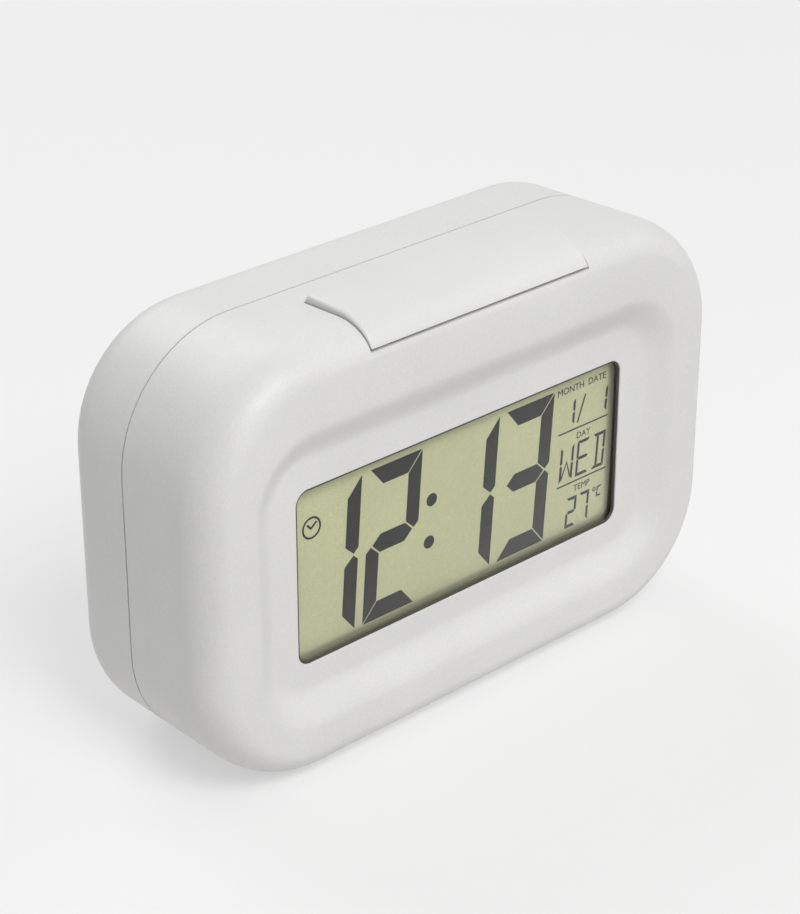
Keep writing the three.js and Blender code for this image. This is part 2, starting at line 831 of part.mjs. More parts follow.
function rearCase() {
  const outside = rearBody(0, rearFront);
  const lipStart = partingDepth - lipLength;
  const lipInset = wall / 2 + seat;
  const lip = loft([rearFront + wall, lipStart].map((y) =>
    ring(outline(y, drawnIn(y) + lipInset, lipInset)),
  ));
  const posts = caseScrews.map(({ x, z }) => rodY(rearPostRadius, x, z, rearFront, caseDepth));
  const keyBosses = [-1, 1].map((side) =>
    rodY(bossRadius, side * keyBossX, keyHeight, keyBoardBack + seat, caseDepth),
  );
  const bay = block(
    -bayHalf - bayWall,
    bayHalf + bayWall,
    bayUnderside,
    caseDepth,
    bayBottom - bayWall,
    bayTop + bayWall,
  );
  const additions = join(bay, ...posts, ...keyBosses, sounderRing()).intersect(outside);
  const shell = join(outside, lip).subtract(rearBody(wall, lipStart - 1));
  const troughRadius = cellDiameter / 2 + clear;
  const ridge = troughRadius / 3;
  const troughs = cellPlaces.map(({ z }) => rodX(troughRadius, cellDepth, z, -bayHalf, bayHalf));
  const room = block(-bayHalf, bayHalf, bayFloor + ridge, caseDepth + 1, bayBottom, bayTop);
  const screwHoles = caseScrews.flatMap(({ x, z }) => [
    rodY(caseScrewRadius + clear, x, z, rearFront - 1, caseDepth, 12),
    rodY(screwHeadRadius + clear, x, z, screwSeat, caseDepth + 1),
  ]);
  const keyHoles = keyPlaces.map(({ x }) =>
    rodY(keyDiameter / 2 + clear, x, keyHeight, backInner - 1, caseDepth + 1, 20),
  );
  const keyPilots = [-1, 1].map((side) =>
    rodY(boardScrewRadius + seat, side * keyBossX, keyHeight, keyBoardFront, backInner - seat, 12),
  );
  const sounds = Array.from({ length: soundHoles + 1 }, (_, i) => {
    const angle = (i / soundHoles) * 2 * Math.PI;
    const reach = i === soundHoles ? 0 : soundHoleRing;
    const x = sounderX + reach * Math.cos(angle);
    return rodY(soundHoleRadius, x, sounderHeight + reach * Math.sin(angle), backInner - 1, caseDepth + 1, 8);
  });
  const footPockets = [-1, 1].map((side) => {
    const x = side * footX;
    const half = footHalf + clear;
    const depth = footBack - footThickness - clear;
    const low = doorBottom - footDrop - clear;
    return block(x - half, x + half, depth, backInner, low, bayBottom + 0.1);
  });
  const tabSlots = contactTabs.map(({ side, z }) => {
    const near = side * bayHalf;
    const far = side * (bayHalf - contactSheet - 2 * seat);
    const [x0, x1] = [Math.min(near, far), Math.max(near, far)];
    return block(x0, x1, bayUnderside - 1, bayFloor + ridge + 0.5, z - tabHalf - clear, z + tabHalf + clear);
  });
  const doorOpening = plate(
    doorHalf + clear,
    doorBottom - clear,
    doorTop + clear,
    doorCorner + clear,
    backInner,
    caseDepth + 1,
  );
  return cut(
    shell.add(additions),
    room,
    ...troughs,
    doorOpening,
    ...screwHoles,
    ...keyHoles,
    ...keyPilots,
    ...sounds,
    ...footPockets,
    ...tabSlots,
  );
}

// A cell: a can with a raised button at its plus end.
function cell({ z, plusSide }) {
  const radius = cellDiameter / 2;
  const buttonRadius = 1.9;
  const buttonLength = 1;
  const plusEnd = plusSide * (bayHalf - plusStack);
  const shoulder = plusEnd - plusSide * buttonLength;
  const minusEnd = plusEnd - plusSide * cellLength;
  const can = rodX(radius, cellDepth, z, Math.min(shoulder, minusEnd), Math.max(shoulder, minusEnd), 24);
  const root = shoulder - plusSide;
  const button = rodX(buttonRadius, cellDepth, z, Math.min(root, plusEnd), Math.max(root, plusEnd), 12);
  return can.add(button);
}

// Sheet contacts: a flat one meets each plus end, a sprung one each minus end, and two link a pair of cells.
const contactHalf = 3.9;
const contactTabs = [
  { side: -1, z: cellPlaces[0].z },
  { side: 1, z: cellPlaces[2].z },
];

function contactPlate(side, high, low) {
  const wallFace = side * (bayHalf - seat / 2);
  const innerFace = wallFace - side * contactSheet;
  const [x0, x1] = [Math.min(wallFace, innerFace), Math.max(wallFace, innerFace)];
  const deep = bayFloor + cellDiameter / 6 + clear;
  return block(x0, x1, deep, backInner - clear, low - contactHalf, high + contactHalf);
}

function contactTab({ side, z }) {
  const wallFace = side * (bayHalf - seat / 2);
  const innerFace = wallFace - side * contactSheet;
  const [x0, x1] = [Math.min(wallFace, innerFace), Math.max(wallFace, innerFace)];
  return block(x0, x1, bayUnderside - tabReach, cellDepth, z - tabHalf, z + tabHalf);
}

function contactDimple(side, z) {
  const innerFace = side * (bayHalf - seat / 2 - contactSheet);
  const tip = innerFace - side * dimple;
  const root = innerFace + (side * contactSheet) / 2;
  return rodX(2.2, cellDepth, z, Math.min(root, tip), Math.max(root, tip), 12);
}

// A conical spring of round wire: wide on its sheet, narrow at the cell.
const springWide = 4;
const springNarrow = 1.9;
const curlSteps = 8;
const wireSides = 5;

function springPoint(side, z, share) {
  const angle = share * springTurns * 2 * Math.PI;
  const radius = THREE.MathUtils.lerp(springWide, springNarrow, share);
  const near = bayHalf - seat / 2 - contactSheet - springWire * 0.3;
  const far = bayHalf - seat / 2 - contactSheet - springLength + springWire / 2;
  return {
    at: new THREE.Vector3(
      side * THREE.MathUtils.lerp(near, far, share),
      cellDepth + radius * Math.cos(angle),
      z + radius * Math.sin(angle),
    ),
    out: new THREE.Vector3(0, Math.cos(angle), Math.sin(angle)),
  };
}

function spring(side, z) {
  const steps = springTurns * curlSteps;
  const rings = Array.from({ length: steps + 1 }, (_, i) => {
    const { at, out } = springPoint(side, z, i / steps);
    return Array.from({ length: wireSides }, (_, k) => {
      const angle = (k / wireSides) * 2 * Math.PI;
      const along = new THREE.Vector3(Math.sin(angle) * (springWire / 2), 0, 0);
      return at.clone().addScaledVector(out, Math.cos(angle) * (springWire / 2)).add(along);
    });
  });
  return loft(rings.reverse());
}

// The least gap between the turns of a spring, measured on points along its wire.
function leastSpringGap() {
  const samples = springTurns * 48;
  const points = Array.from({ length: samples + 1 }, (_, i) => springPoint(1, 0, i / samples).at);
  const halfTurn = samples / springTurns / 2;
  let least = Infinity;
  points.forEach((a, i) => {
    for (const b of points.slice(i + halfTurn)) least = Math.min(least, a.distanceTo(b));
  });
  return least - springWire;
}
console.log(`least gap between spring turns: ${leastSpringGap().toFixed(2)} mm`);

// A lead: round insulation along a smooth route.
function lead(points, steps = 16) {
  const route = new THREE.CatmullRomCurve3(points.map((p) => new THREE.Vector3(...p)));
  const section = new THREE.Shape().absarc(0, 0, leadDiameter / 2, 0, 2 * Math.PI);
  const options = { extrudePath: route, steps, curveSegments: 4, bevelEnabled: false };
  return solidFrom(new THREE.ExtrudeGeometry(section, options));
}

// The leads run from the contact tabs and the sounder to pads on the back of the main board.
const padDepth = boardBack + clear + leadDiameter / 4;

function batteryLead({ side, z }, padX, padZ) {
  const start = [side * (bayHalf - seat / 2 - contactSheet / 2), bayUnderside - tabReach - clear, z];
  const middle = (start[1] + padDepth) / 2;
  return lead([
    start,
    [start[0], start[1] - 2, z],
    [(start[0] + padX) / 2, middle, (z + padZ) / 2 + side * 2],
    [padX, padDepth + 2.5, padZ],
    [padX, padDepth, padZ],
  ]);
}

function sounderLead(offset, padX, padZ) {
  const x = sounderX + offset;
  const startDepth = sounderBack - seat - 2 * sounderSheet - clear;
  return lead([
    [x, startDepth, sounderHeight],
    [x, startDepth - 3, sounderHeight],
    [(x + padX) / 2, (startDepth + padDepth) / 2, (sounderHeight + padZ) / 2],
    [padX, padDepth + 3, padZ],
    [padX, padDepth, padZ],
  ]);
}

// The flat cable between the key board and the main board, a ribbon bent in an S.
function ribbonCable() {
  const half = ribbonWidth / 2;
  const low = windowMiddle + ribbonRise;
  const y0 = boardBack + clear;
  const y1 = keyBoardFront - clear;
  const bend = (y1 - y0) * 0.45;
  const curve = new THREE.CubicBezierCurve(
    new THREE.Vector2(y0, low),
    new THREE.Vector2(y0 + bend, low),
    new THREE.Vector2(y1 - bend, keyHeight),
    new THREE.Vector2(y1, keyHeight),
  );
  const steps = 12;
  const side = (offset) =>
    Array.from({ length: steps + 1 }, (_, i) => {
      const along = curve.getTangent(i / steps);
      const at = curve.getPoint(i / steps);
      return [at.x - along.y * offset, at.y + along.x * offset];
    });
  const faces = [...side(-ribbonThickness / 2), ...side(ribbonThickness / 2).reverse()];
  return barX(faces, -half, half);
}

// A pan-head screw along Y with a cross in its head, pointing forwards or, turned round, backwards.
function screw({ x, z }, underHead, length, radius, headRadius, facing = 1) {
  const tip = -length;
  const profile = [
    [0, tip],
    [radius * 0.5, tip],
    [radius, tip + radius],
    [radius, 0],
    [headRadius, 0],
    [headRadius, screwHeadHeight * 0.5],
    [headRadius * 0.75, screwHeadHeight],
    [0, screwHeadHeight],
  ];
  const points = profile.map(([r, y]) => new THREE.Vector2(r, y));
  const body = solidFrom(new THREE.LatheGeometry(points, 12));
  const arm = headRadius * 0.55;
  const depth = screwHeadHeight * 0.6;
  const crossed = cut(
    body,
    block(-arm, arm, depth, screwHeadHeight + 1, -0.25, 0.25),
    block(-0.25, 0.25, depth, screwHeadHeight + 1, -arm, arm),
  );
  const turnedRound = facing > 0 ? crossed : crossed.rotate([0, 0, 180]);
  return turnedRound.translate([x, underHead, z]);
}

// Finishes, one for each material of the clock
const finishes = {
  whitePlastic: { color: 0xd9dad8, roughness: 0.55, metalness: 0 },
  innerPlastic: { color: 0xe6e6e2, roughness: 0.6, metalness: 0 },
  clearPlastic: { color: 0xf2f5f2, roughness: 0.08, metalness: 0, transparent: true, opacity: 0.25 },
  displayGlass: { color: 0x9da27e, roughness: 0.2, metalness: 0 },
  boardGreen: { color: 0x2f6b43, roughness: 0.5, metalness: 0 },
  blackResin: { color: 0x16171a, roughness: 0.35, metalness: 0 },
  blackRubber: { color: 0x222222, roughness: 0.8, metalness: 0 },
  steel: { color: 0xb9bcc0, roughness: 0.3, metalness: 1 },
  brass: { color: 0xc9a24d, roughness: 0.35, metalness: 1 },
  cellJacket: { color: 0x3f5f7d, roughness: 0.4, metalness: 0.2 },
  redLead: { color: 0xb3241c, roughness: 0.6, metalness: 0 },
  blackLead: { color: 0x1d1d1f, roughness: 0.6, metalness: 0 },
};

const clock = new THREE.Group();
clock.name = "digital_clock";
clock.position.y = -(caseDepth + keyProud) / 2;

// Hangs one named solid in the group as a mesh with its own material.
function add(name, solid, finish) {
  const { vertProperties, triVerts } = solid.getMesh();
  const shape = new THREE.BufferGeometry();
  shape.setAttribute("position", new THREE.BufferAttribute(vertProperties, 3));
  shape.setIndex(Array.from(triVerts));
  shape.computeVertexNormals();
  const mesh = new THREE.Mesh(shape, new THREE.MeshStandardMaterial(finishes[finish]));
  mesh.name = name;
  clock.add(mesh);
}

// The front half and what lies in it
add("front_case", frontCase(), "whitePlastic");
add("display_lens", lensPlate(0, lensFront, lensFront + lensThickness), "clearPlastic");
add("lcd_front_glass", glass(glassHeight / 2, glassFront), "displayGlass");
add("lcd_rear_glass", glass(rearGlassHalf, rearGlassFront), "displayGlass");
add("light_guide", lightGuide(), "clearPlastic");
add("backlight_led", backlightLed(), "innerPlastic");
add("lcd_holder", displayHolder(), "innerPlastic");
add("zebra_strip_upper", zebraStrip(1), "blackRubber");
add("zebra_strip_lower", zebraStrip(-1), "blackRubber");

// The main board and what it carries
add("main_board", mainBoard(), "boardGreen");
add("chip_cover", chipCover(), "blackResin");
add("crystal", crystal(), "steel");
add("thermistor", thermistor(), "blackResin");
for (const [name, side] of [["left", -1], ["right", 1]]) {
  const x = (side * snoozeSpacing) / 2;
  add(`snooze_switch_${name}`, snoozeSwitch(x), "steel");
  add(`snooze_plunger_${name}`, snoozePlunger(x), "blackRubber");
}
boardScrews.forEach((place, i) => {
  const screwBody = screw(place, boardBack + seat / 2, boardScrewLength, boardScrewRadius, screwHeadRadius);
  add(`board_screw_${i + 1}`, screwBody, "steel");
});
add("snooze_bar", snoozeBar(), "whitePlastic");

// The rear half, its keys and its sounder
add("rear_case", rearCase(), "whitePlastic");
add("key_board", keyBoard(), "boardGreen");
for (const { name, x } of keyPlaces) {
  add(`key_switch_${name}`, keySwitch(x), "steel");
  add(`key_plunger_${name}`, keyPlunger(x), "blackRubber");
  add(`${name}_button`, keyButton(x), "whitePlastic");
}
for (const [name, side] of [["left", -1], ["right", 1]]) {
  const place = { x: side * keyBossX, z: keyHeight };
  const underHead = keyBoardFront - seat / 2;
  const length = boardScrewLength - seat;
  const screwBody = screw(place, underHead, length, boardScrewRadius, screwHeadRadius, -1);
  add(`key_board_screw_${name}`, screwBody, "steel");
}
add("buzzer_disc", sounderDisc(), "brass");

// The cells, their contacts and the door
cellPlaces.forEach((place, i) => add(`battery_${i + 1}`, cell(place), "cellJacket"));
const [cellTop, cellMiddle, cellBottom] = cellPlaces.map(({ z }) => z);
add(
  "contact_positive",
  join(contactPlate(-1, cellTop, cellTop), contactDimple(-1, cellTop), contactTab(contactTabs[0])),
  "steel",
);
add(
  "contact_negative",
  join(contactPlate(1, cellBottom, cellBottom), spring(1, cellBottom), contactTab(contactTabs[1])),
  "steel",
);
add(
  "contact_link_left",
  join(contactPlate(-1, cellMiddle, cellBottom), spring(-1, cellMiddle), contactDimple(-1, cellBottom)),
  "steel",
);
add(
  "contact_link_right",
  join(contactPlate(1, cellTop, cellMiddle), spring(1, cellTop), contactDimple(1, cellMiddle)),
  "steel",
);
add("battery_door", batteryDoor(), "whitePlastic");
caseScrews.forEach((place, i) => {
  const screwBody = screw(place, screwSeat + seat / 2, caseScrewLength, caseScrewRadius, screwHeadRadius);
  add(`case_screw_${i + 1}`, screwBody, "steel");
});

// The leads
const redPadX = batteryPadInset - boardHalfWidth;
const blackPadX = boardHalfWidth - batteryPadInset - padPitch;
const sounderPadX = boardHalfWidth - sounderPadInset;
const sounderPadZ = boardBottom + sounderPadRise;
add("battery_wire_red", batteryLead(contactTabs[0], redPadX, boardBottom + redPadRise), "redLead");
add("battery_wire_black", batteryLead(contactTabs[1], blackPadX, boardBottom + blackPadRise), "blackLead");
add("buzzer_wire_red", sounderLead(2, sounderPadX, sounderPadZ), "redLead");
add("buzzer_wire_black", sounderLead(-2, sounderPadX - padPitch, sounderPadZ), "blackLead");
add("ribbon_cable", ribbonCable(), "innerPlastic");

export default clock;
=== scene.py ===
import math
import json
import bpy
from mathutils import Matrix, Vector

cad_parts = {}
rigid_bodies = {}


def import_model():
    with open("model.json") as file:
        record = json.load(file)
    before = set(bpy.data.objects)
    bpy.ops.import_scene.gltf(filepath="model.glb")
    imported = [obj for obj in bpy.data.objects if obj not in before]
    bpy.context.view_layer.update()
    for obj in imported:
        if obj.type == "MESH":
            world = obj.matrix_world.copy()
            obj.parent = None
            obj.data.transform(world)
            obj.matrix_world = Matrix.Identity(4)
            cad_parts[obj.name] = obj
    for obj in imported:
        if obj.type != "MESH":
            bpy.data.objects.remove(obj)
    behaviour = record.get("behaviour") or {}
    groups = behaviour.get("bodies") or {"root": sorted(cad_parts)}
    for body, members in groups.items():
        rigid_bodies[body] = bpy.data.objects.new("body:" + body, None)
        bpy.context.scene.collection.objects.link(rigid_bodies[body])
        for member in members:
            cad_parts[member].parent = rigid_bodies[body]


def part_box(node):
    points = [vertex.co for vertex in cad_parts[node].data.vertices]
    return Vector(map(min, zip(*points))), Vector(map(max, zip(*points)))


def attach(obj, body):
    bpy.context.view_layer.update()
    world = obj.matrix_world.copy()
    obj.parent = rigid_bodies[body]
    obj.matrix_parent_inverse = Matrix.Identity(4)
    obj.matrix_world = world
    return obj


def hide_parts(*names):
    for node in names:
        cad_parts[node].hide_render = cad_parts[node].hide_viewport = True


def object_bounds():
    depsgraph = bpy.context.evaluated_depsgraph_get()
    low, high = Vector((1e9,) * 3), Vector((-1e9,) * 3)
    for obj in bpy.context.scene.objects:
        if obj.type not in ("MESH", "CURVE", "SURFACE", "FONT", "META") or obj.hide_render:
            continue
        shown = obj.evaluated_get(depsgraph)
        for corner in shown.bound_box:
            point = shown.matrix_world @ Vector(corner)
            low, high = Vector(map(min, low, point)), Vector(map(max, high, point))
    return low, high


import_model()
cad_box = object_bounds()
low, high = cad_box
bpy.ops.object.select_all(action="DESELECT")

# The studio: a pale floor under soft light, with the camera where the photographed front view was taken from.
# Floor, lamps and camera are no part of the clock.
mm = 0.001
middle = ((low[0] + high[0]) / 2, (low[1] + high[1]) / 2, (low[2] + high[2]) / 2)
view_azimuth = math.radians(-43)
view_elevation = math.radians(27)
view_distance = 520 * mm
frame_width = 800
focal_pixels = 2580
sensor_width = 36


def towards(azimuth, elevation, distance):
    """The point at that distance from the middle of the clock, in that direction."""
    return (
        middle[0] + distance * math.sin(azimuth) * math.cos(elevation),
        middle[1] - distance * math.cos(azimuth) * math.cos(elevation),
        middle[2] + distance * math.sin(elevation),
    )


def aim(thing, target):
    """Turns a camera or lamp so that its -Z looks at the target."""
    step = [t - p for t, p in zip(target, thing.location)]
    level = math.hypot(step[0], step[1])
    thing.rotation_euler = (math.pi / 2 + math.atan2(step[2], level), 0, math.atan2(-step[0], step[1]))


bpy.ops.object.camera_add(location=towards(view_azimuth, view_elevation, view_distance))
camera = bpy.context.object
camera.name = "camera"
camera.data.sensor_fit = "HORIZONTAL"
camera.data.sensor_width = sensor_width
camera.data.lens = focal_pixels * sensor_width / frame_width
camera.data.clip_start = 0.01
aim(camera, middle)
bpy.context.scene.camera = camera
bpy.context.scene.view_settings.view_transform = "Standard"

lamps = {
    "key_lamp": (-12, 50, 1.3, 0.7, 11),
    "fill_lamp": (70, 35, 1.5, 1.0, 2.5),
    "back_lamp": (175, 40, 1.5, 1.0, 7),
}
for name, (azimuth, elevation, distance, size, power) in lamps.items():
    place = towards(math.radians(azimuth), math.radians(elevation), distance)
    bpy.ops.object.light_add(type="AREA", location=place)
    lamp = bpy.context.object
    lamp.name = name
    lamp.data.shape = "DISK"
    lamp.data.size = size
    lamp.data.energy = power
    aim(lamp, middle)

world = bpy.data.worlds.new("soft_room")
world.use_nodes = True
room_tree = world.node_tree
room_light = room_tree.nodes["Background"]
room_light.inputs["Color"].default_value = (0.97, 0.98, 1.0, 1)
room_light.inputs["Strength"].default_value = 0.32
bpy.context.scene.world = world


def seen_share(tree):
    """1 where something is seen straight, in a mirror or through glass, 0 where it only lights the clock."""
    rays = tree.nodes.new("ShaderNodeLightPath").outputs
    share = rays["Is Camera Ray"]
    for other in ("Is Glossy Ray", "Is Transmission Ray"):
        larger = tree.nodes.new("ShaderNodeMath")
        larger.operation = "MAXIMUM"
        tree.links.new(share, larger.inputs[0])
        tree.links.new(rays[other], larger.inputs[1])
        share = larger.outputs[0]
    return share


backdrop = room_tree.nodes.new("ShaderNodeBackground")
backdrop.inputs["Color"].default_value = (0.84, 0.84, 0.84, 1)
room_mix = room_tree.nodes.new("ShaderNodeMixShader")
room_tree.links.new(seen_share(room_tree), room_mix.inputs[0])
room_tree.links.new(room_light.outputs[0], room_mix.inputs[1])
room_tree.links.new(backdrop.outputs[0], room_mix.inputs[2])
room_tree.links.new(room_mix.outputs[0], room_tree.nodes["World Output"].inputs["Surface"])

bpy.ops.mesh.primitive_grid_add(x_subdivisions=2, y_subdivisions=2, size=8, location=(0, 0, low[2]))
floor = bpy.context.object
floor.name = "floor"
floor_paint = bpy.data.materials.new("floor_paint")
floor_paint.use_nodes = True
floor_tree = floor_paint.node_tree
floor_shader = floor_tree.nodes["Principled BSDF"]
floor_shader.inputs["Base Color"].default_value = (0.78, 0.775, 0.77, 1)
floor_shader.inputs["Roughness"].default_value = 0.8
paper_white = floor_tree.nodes.new("ShaderNodeEmission")
paper_share = floor_tree.nodes.new("ShaderNodeMath")
paper_share.operation = "MULTIPLY"
floor_place = floor_tree.nodes.new("ShaderNodeTexCoord")
floor_reach = floor_tree.nodes.new("ShaderNodeVectorMath")
floor_reach.operation = "LENGTH"
floor_tree.links.new(floor_place.outputs["Object"], floor_reach.inputs[0])
far_white = floor_tree.nodes.new("ShaderNodeMapRange")
for socket, value in {"From Min": 0.45, "From Max": 1.5, "To Min": 0.5, "To Max": 0.8}.items():
    far_white.inputs[socket].default_value = value
floor_tree.links.new(floor_reach.outputs["Value"], far_white.inputs["Value"])
floor_tree.links.new(seen_share(floor_tree), paper_share.inputs[0])
floor_tree.links.new(far_white.outputs[0], paper_share.inputs[1])
floor_mix = floor_tree.nodes.new("ShaderNodeMixShader")
floor_tree.links.new(paper_share.outputs[0], floor_mix.inputs[0])
floor_tree.links.new(floor_shader.outputs[0], floor_mix.inputs[1])
floor_tree.links.new(paper_white.outputs[0], floor_mix.inputs[2])
floor_tree.links.new(floor_mix.outputs[0], floor_tree.nodes["Material Output"].inputs["Surface"])
floor.data.materials.append(floor_paint)

# The front half of the case: one moulding in white ABS with a soft rounded edge, a broad rim and a dished
# face down to the flat panel round the display. It is moulded open at the back and takes the bar in its top.
front_low, front_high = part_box("front_case")
crest = front_low[1]
case_half = front_high[0]
case_height = front_high[2]
corner_radius = 26.5 * mm
wall = 2 * mm
round_depth = 9 * mm
round_inset = 6 * mm
back_round = 9 * mm
draft = 1 * mm
corner_segments = 14
parting = front_high[1] - crest
case_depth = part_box("rear_case")[1][1] - crest


def hoop(half_width, bottom, top, radius, depth):
    """The points of a rectangle with round corners, facing the reader, at a depth behind the crest."""
    corners = (
        (half_width - radius, bottom + radius, -90),
        (half_width - radius, top - radius, 0),
        (radius - half_width, top - radius, 90),
        (radius - half_width, bottom + radius, 180),
    )
    points = []
    for x, z, start in corners:
        for step in range(corner_segments + 1):
            angle = math.radians(start + 90 * step / corner_segments)
            points.append((x + radius * math.cos(angle), crest + depth, z + radius * math.sin(angle)))
    return points


def pick(mesh, first, count):
    """Selects a run of corners of a mesh and nothing else."""
    for polygon in mesh.polygons:
        polygon.select = False
    for edge in mesh.edges:
        edge.select = False
    for i, corner in enumerate(mesh.vertices):
        corner.select = first <= i < first + count


def drawn_out(name, rows, ends="capped"):
    """Draws a skin out over rows of points, and caps its ends or joins it round to its start.

    The first row is a circle moved into shape, and each further one is extruded from the last.
    """
    count = len(rows[0])
    bpy.ops.mesh.primitive_circle_add(vertices=count, radius=mm, fill_type="NOTHING")
    whole = bpy.context.object
    whole.name = name
    bpy.ops.object.transform_apply(location=True, rotation=True, scale=True)
    if ends == "joined":
        rows = [*rows, rows[0]]
    for row, points in enumerate(rows):
        if row:
            pick(whole.data, (row - 1) * count, count)
            bpy.ops.object.mode_set(mode="EDIT")
            bpy.ops.mesh.extrude_region_move()
            bpy.ops.object.mode_set(mode="OBJECT")
        for corner, point in zip(whole.data.vertices[row * count :], points):
            corner.co = point
    if ends == "capped":
        for row in (0, len(rows) - 1):
            pick(whole.data, row * count, count)
            bpy.ops.object.mode_set(mode="EDIT")
            bpy.ops.mesh.edge_face_add()
            bpy.ops.object.mode_set(mode="OBJECT")
    bpy.ops.object.mode_set(mode="EDIT")
    bpy.ops.mesh.select_all(action="SELECT")
    bpy.ops.mesh.remove_doubles(threshold=0.0001 * mm)
    bpy.ops.mesh.normals_make_consistent(inside=False)
    bpy.ops.object.mode_set(mode="OBJECT")
    return whole


def skin(name, hoops, ends="capped"):
    """A skin over a row of rectangles with round corners."""
    return drawn_out(name, [hoop(*sizes) for sizes in hoops], ends)


def outline(depth, inset, base_inset):
    """The case outline drawn in at the sides and top by one amount, and at the flat base by another."""
    return (case_half - inset, base_inset, case_height - inset, corner_radius - inset, depth)


def drawn_in(depth):
    """How far the sides have drawn in towards the back at a depth."""
    return draft * (depth - round_depth) / (case_depth - back_round - round_depth)


window_half = 44 * mm
window_low, window_high = 22.75 * mm, 60.25 * mm
window_radius = 3 * mm
panel_depth = 4.5 * mm
panel_beside, panel_below, panel_above, panel_radius = 5.5 * mm, 4.6 * mm, 6.1 * mm, 8 * mm
panel_edge = (
    window_half + panel_beside,
    window_low - panel_below,
    window_high + panel_above,
    panel_radius,
    panel_depth,
)
slope_beside, slope_below, slope_above, rim_radius, rim_depth = 8.1 * mm, 8 * mm, 8.8 * mm, 16 * mm, 0.6 * mm
rim_edge = (
    panel_edge[0] + slope_beside,
    panel_edge[1] - slope_below,
    panel_edge[2] + slope_above,
    rim_radius,
    rim_depth,
)
round_steps = 18
dish_steps = 14


def dish(thickness):
    """The hoops from the rim down to the panel, starting and ending softly."""
    hoops = []
    for step in range(dish_steps + 1):
        share = step / dish_steps
        soft = share * share * (3 - 2 * share)
        sizes = [a + (b - a) * share for a, b in zip(rim_edge[:4], panel_edge[:4])]
        hoops.append((*sizes, rim_edge[4] + (panel_edge[4] - rim_edge[4]) * soft + thickness))
    return hoops


def shoulder(thickness):
    """The hoops from the widest place round to the crest."""
    hoops = []
    for step in range(round_steps + 1):
        angle = math.pi / 2 * step / round_steps
        inset = round_inset * (1 - math.cos(angle)) + thickness * math.cos(angle)
        depth = round_depth * (1 - math.sin(angle)) + thickness * math.sin(angle)
        hoops.append(outline(depth, inset, inset))
    return hoops


def window_hoop(grow, depth):
    """A hoop round the display window, grown by an amount."""
    return (window_half + grow, window_low - grow, window_high + grow, window_radius + grow, depth)


edge_break = 0.2 * mm
lens_reach = 2.3 * mm
lens_seat = panel_depth + 0.6 * mm
glass_seat = lens_seat + 0.9 * mm
lip_depth = 1.7 * mm
glass_pocket = (48.2 * mm, 18.17 * mm, 64.9 * mm, 0.6 * mm)
front_hoops = [
    outline(parting, drawn_in(parting) + edge_break / 2, edge_break / 2),
    outline(parting - edge_break / 2, drawn_in(parting), 0),
    outline(parting - 3 * edge_break, drawn_in(parting - 3 * edge_break), 0),
    outline((parting + round_depth) / 2, drawn_in((parting + round_depth) / 2), 0),
    *shoulder(0),
    *dish(0),
    window_hoop(edge_break * 2.5, panel_depth),
    window_hoop(edge_break, panel_depth),
    window_hoop(edge_break * 0.3, panel_depth + edge_break * 0.3),
    window_hoop(0, panel_depth + edge_break),
    window_hoop(0, lens_seat),
    window_hoop(lens_reach, lens_seat),
    window_hoop(lens_reach, glass_seat),
    (*glass_pocket, glass_seat),
    (*glass_pocket, panel_depth + wall),
    *reversed(dish(wall)),
    *reversed(shoulder(wall)),
    outline(parting - lip_depth, drawn_in(parting) + wall, wall),
    outline(parting - lip_depth, drawn_in(parting) + wall / 2, wall / 2),
    outline(parting, drawn_in(parting) + wall / 2, wall / 2),
]
front_case = skin("front_shell", front_hoops, ends="joined")


def block(name, corner_a, corner_b):
    """A box between two corners, in millimetres: across, depth behind the crest, height."""
    sizes = [abs(b - a) * mm for a, b in zip(corner_a, corner_b)]
    centre = [(a + b) / 2 * mm for a, b in zip(corner_a, corner_b)]
    bpy.ops.mesh.primitive_cube_add(size=1, location=(centre[0], crest + centre[1], centre[2]))
    box = bpy.context.object
    box.name = name
    box.scale = sizes
    bpy.ops.object.transform_apply(location=True, rotation=True, scale=True)
    return box


def rod(name, radius, x, z, start, end, sides=48):
    """A round rod from front to back, in millimetres."""
    bpy.ops.mesh.primitive_cylinder_add(
        vertices=sides,
        radius=radius * mm,
        depth=(end - start) * mm,
        location=(x * mm, crest + (start + end) / 2 * mm, z * mm),
        rotation=(math.pi / 2, 0, 0),
    )
    made = bpy.context.object
    made.name = name
    bpy.ops.object.transform_apply(location=True, rotation=True, scale=True)
    return made


def combine(body, operation, tools):
    """Joins tools to a body, or cuts them from it, and removes the tools."""
    for tool in tools:
        bpy.ops.object.select_all(action="DESELECT")
        body.select_set(True)
        bpy.context.view_layer.objects.active = body
        step = body.modifiers.new(operation.lower(), "BOOLEAN")
        step.operation = operation
        step.solver = "EXACT"
        step.object = tool
        bpy.ops.object.modifier_apply(modifier=step.name)
        bpy.data.objects.remove(tool)


bar_half = 28.6
bar_back = 18.63
bar_lip = 86.2
bar_gap = 0.3
bar_travel = 0.7
shaft_front = 2.33
opening_half = bar_half + bar_gap
opening_back = bar_back + bar_gap
collar_wall, collar_front, collar_low, collar_top = 1.2, 3.2, 83.5, 88.2
collar = block(
    "collar",
    (-opening_half - collar_wall, collar_front, collar_low),
    (opening_half + collar_wall, opening_back + collar_wall, collar_top),
)
combine(front_case, "UNION", [collar])
under_collar, past_case = 75, 95
combine(
    front_case,
    "DIFFERENCE",
    [
        block(
            "bar_opening",
            (-opening_half, -1, bar_lip - bar_travel),
            (opening_half, opening_back, past_case),
        ),
        block(
            "bar_shaft",
            (-opening_half, shaft_front, under_collar),
            (opening_half, opening_back, past_case),
        ),
    ],
)


def smooth(thing, degrees=35):
    """Shades a piece smooth, apart from its sharp edges."""
    bpy.ops.object.select_all(action="DESELECT")
    thing.select_set(True)
    bpy.context.view_layer.objects.active = thing
    bpy.ops.object.shade_smooth_by_angle(angle=math.radians(degrees))
    thing.select_set(False)


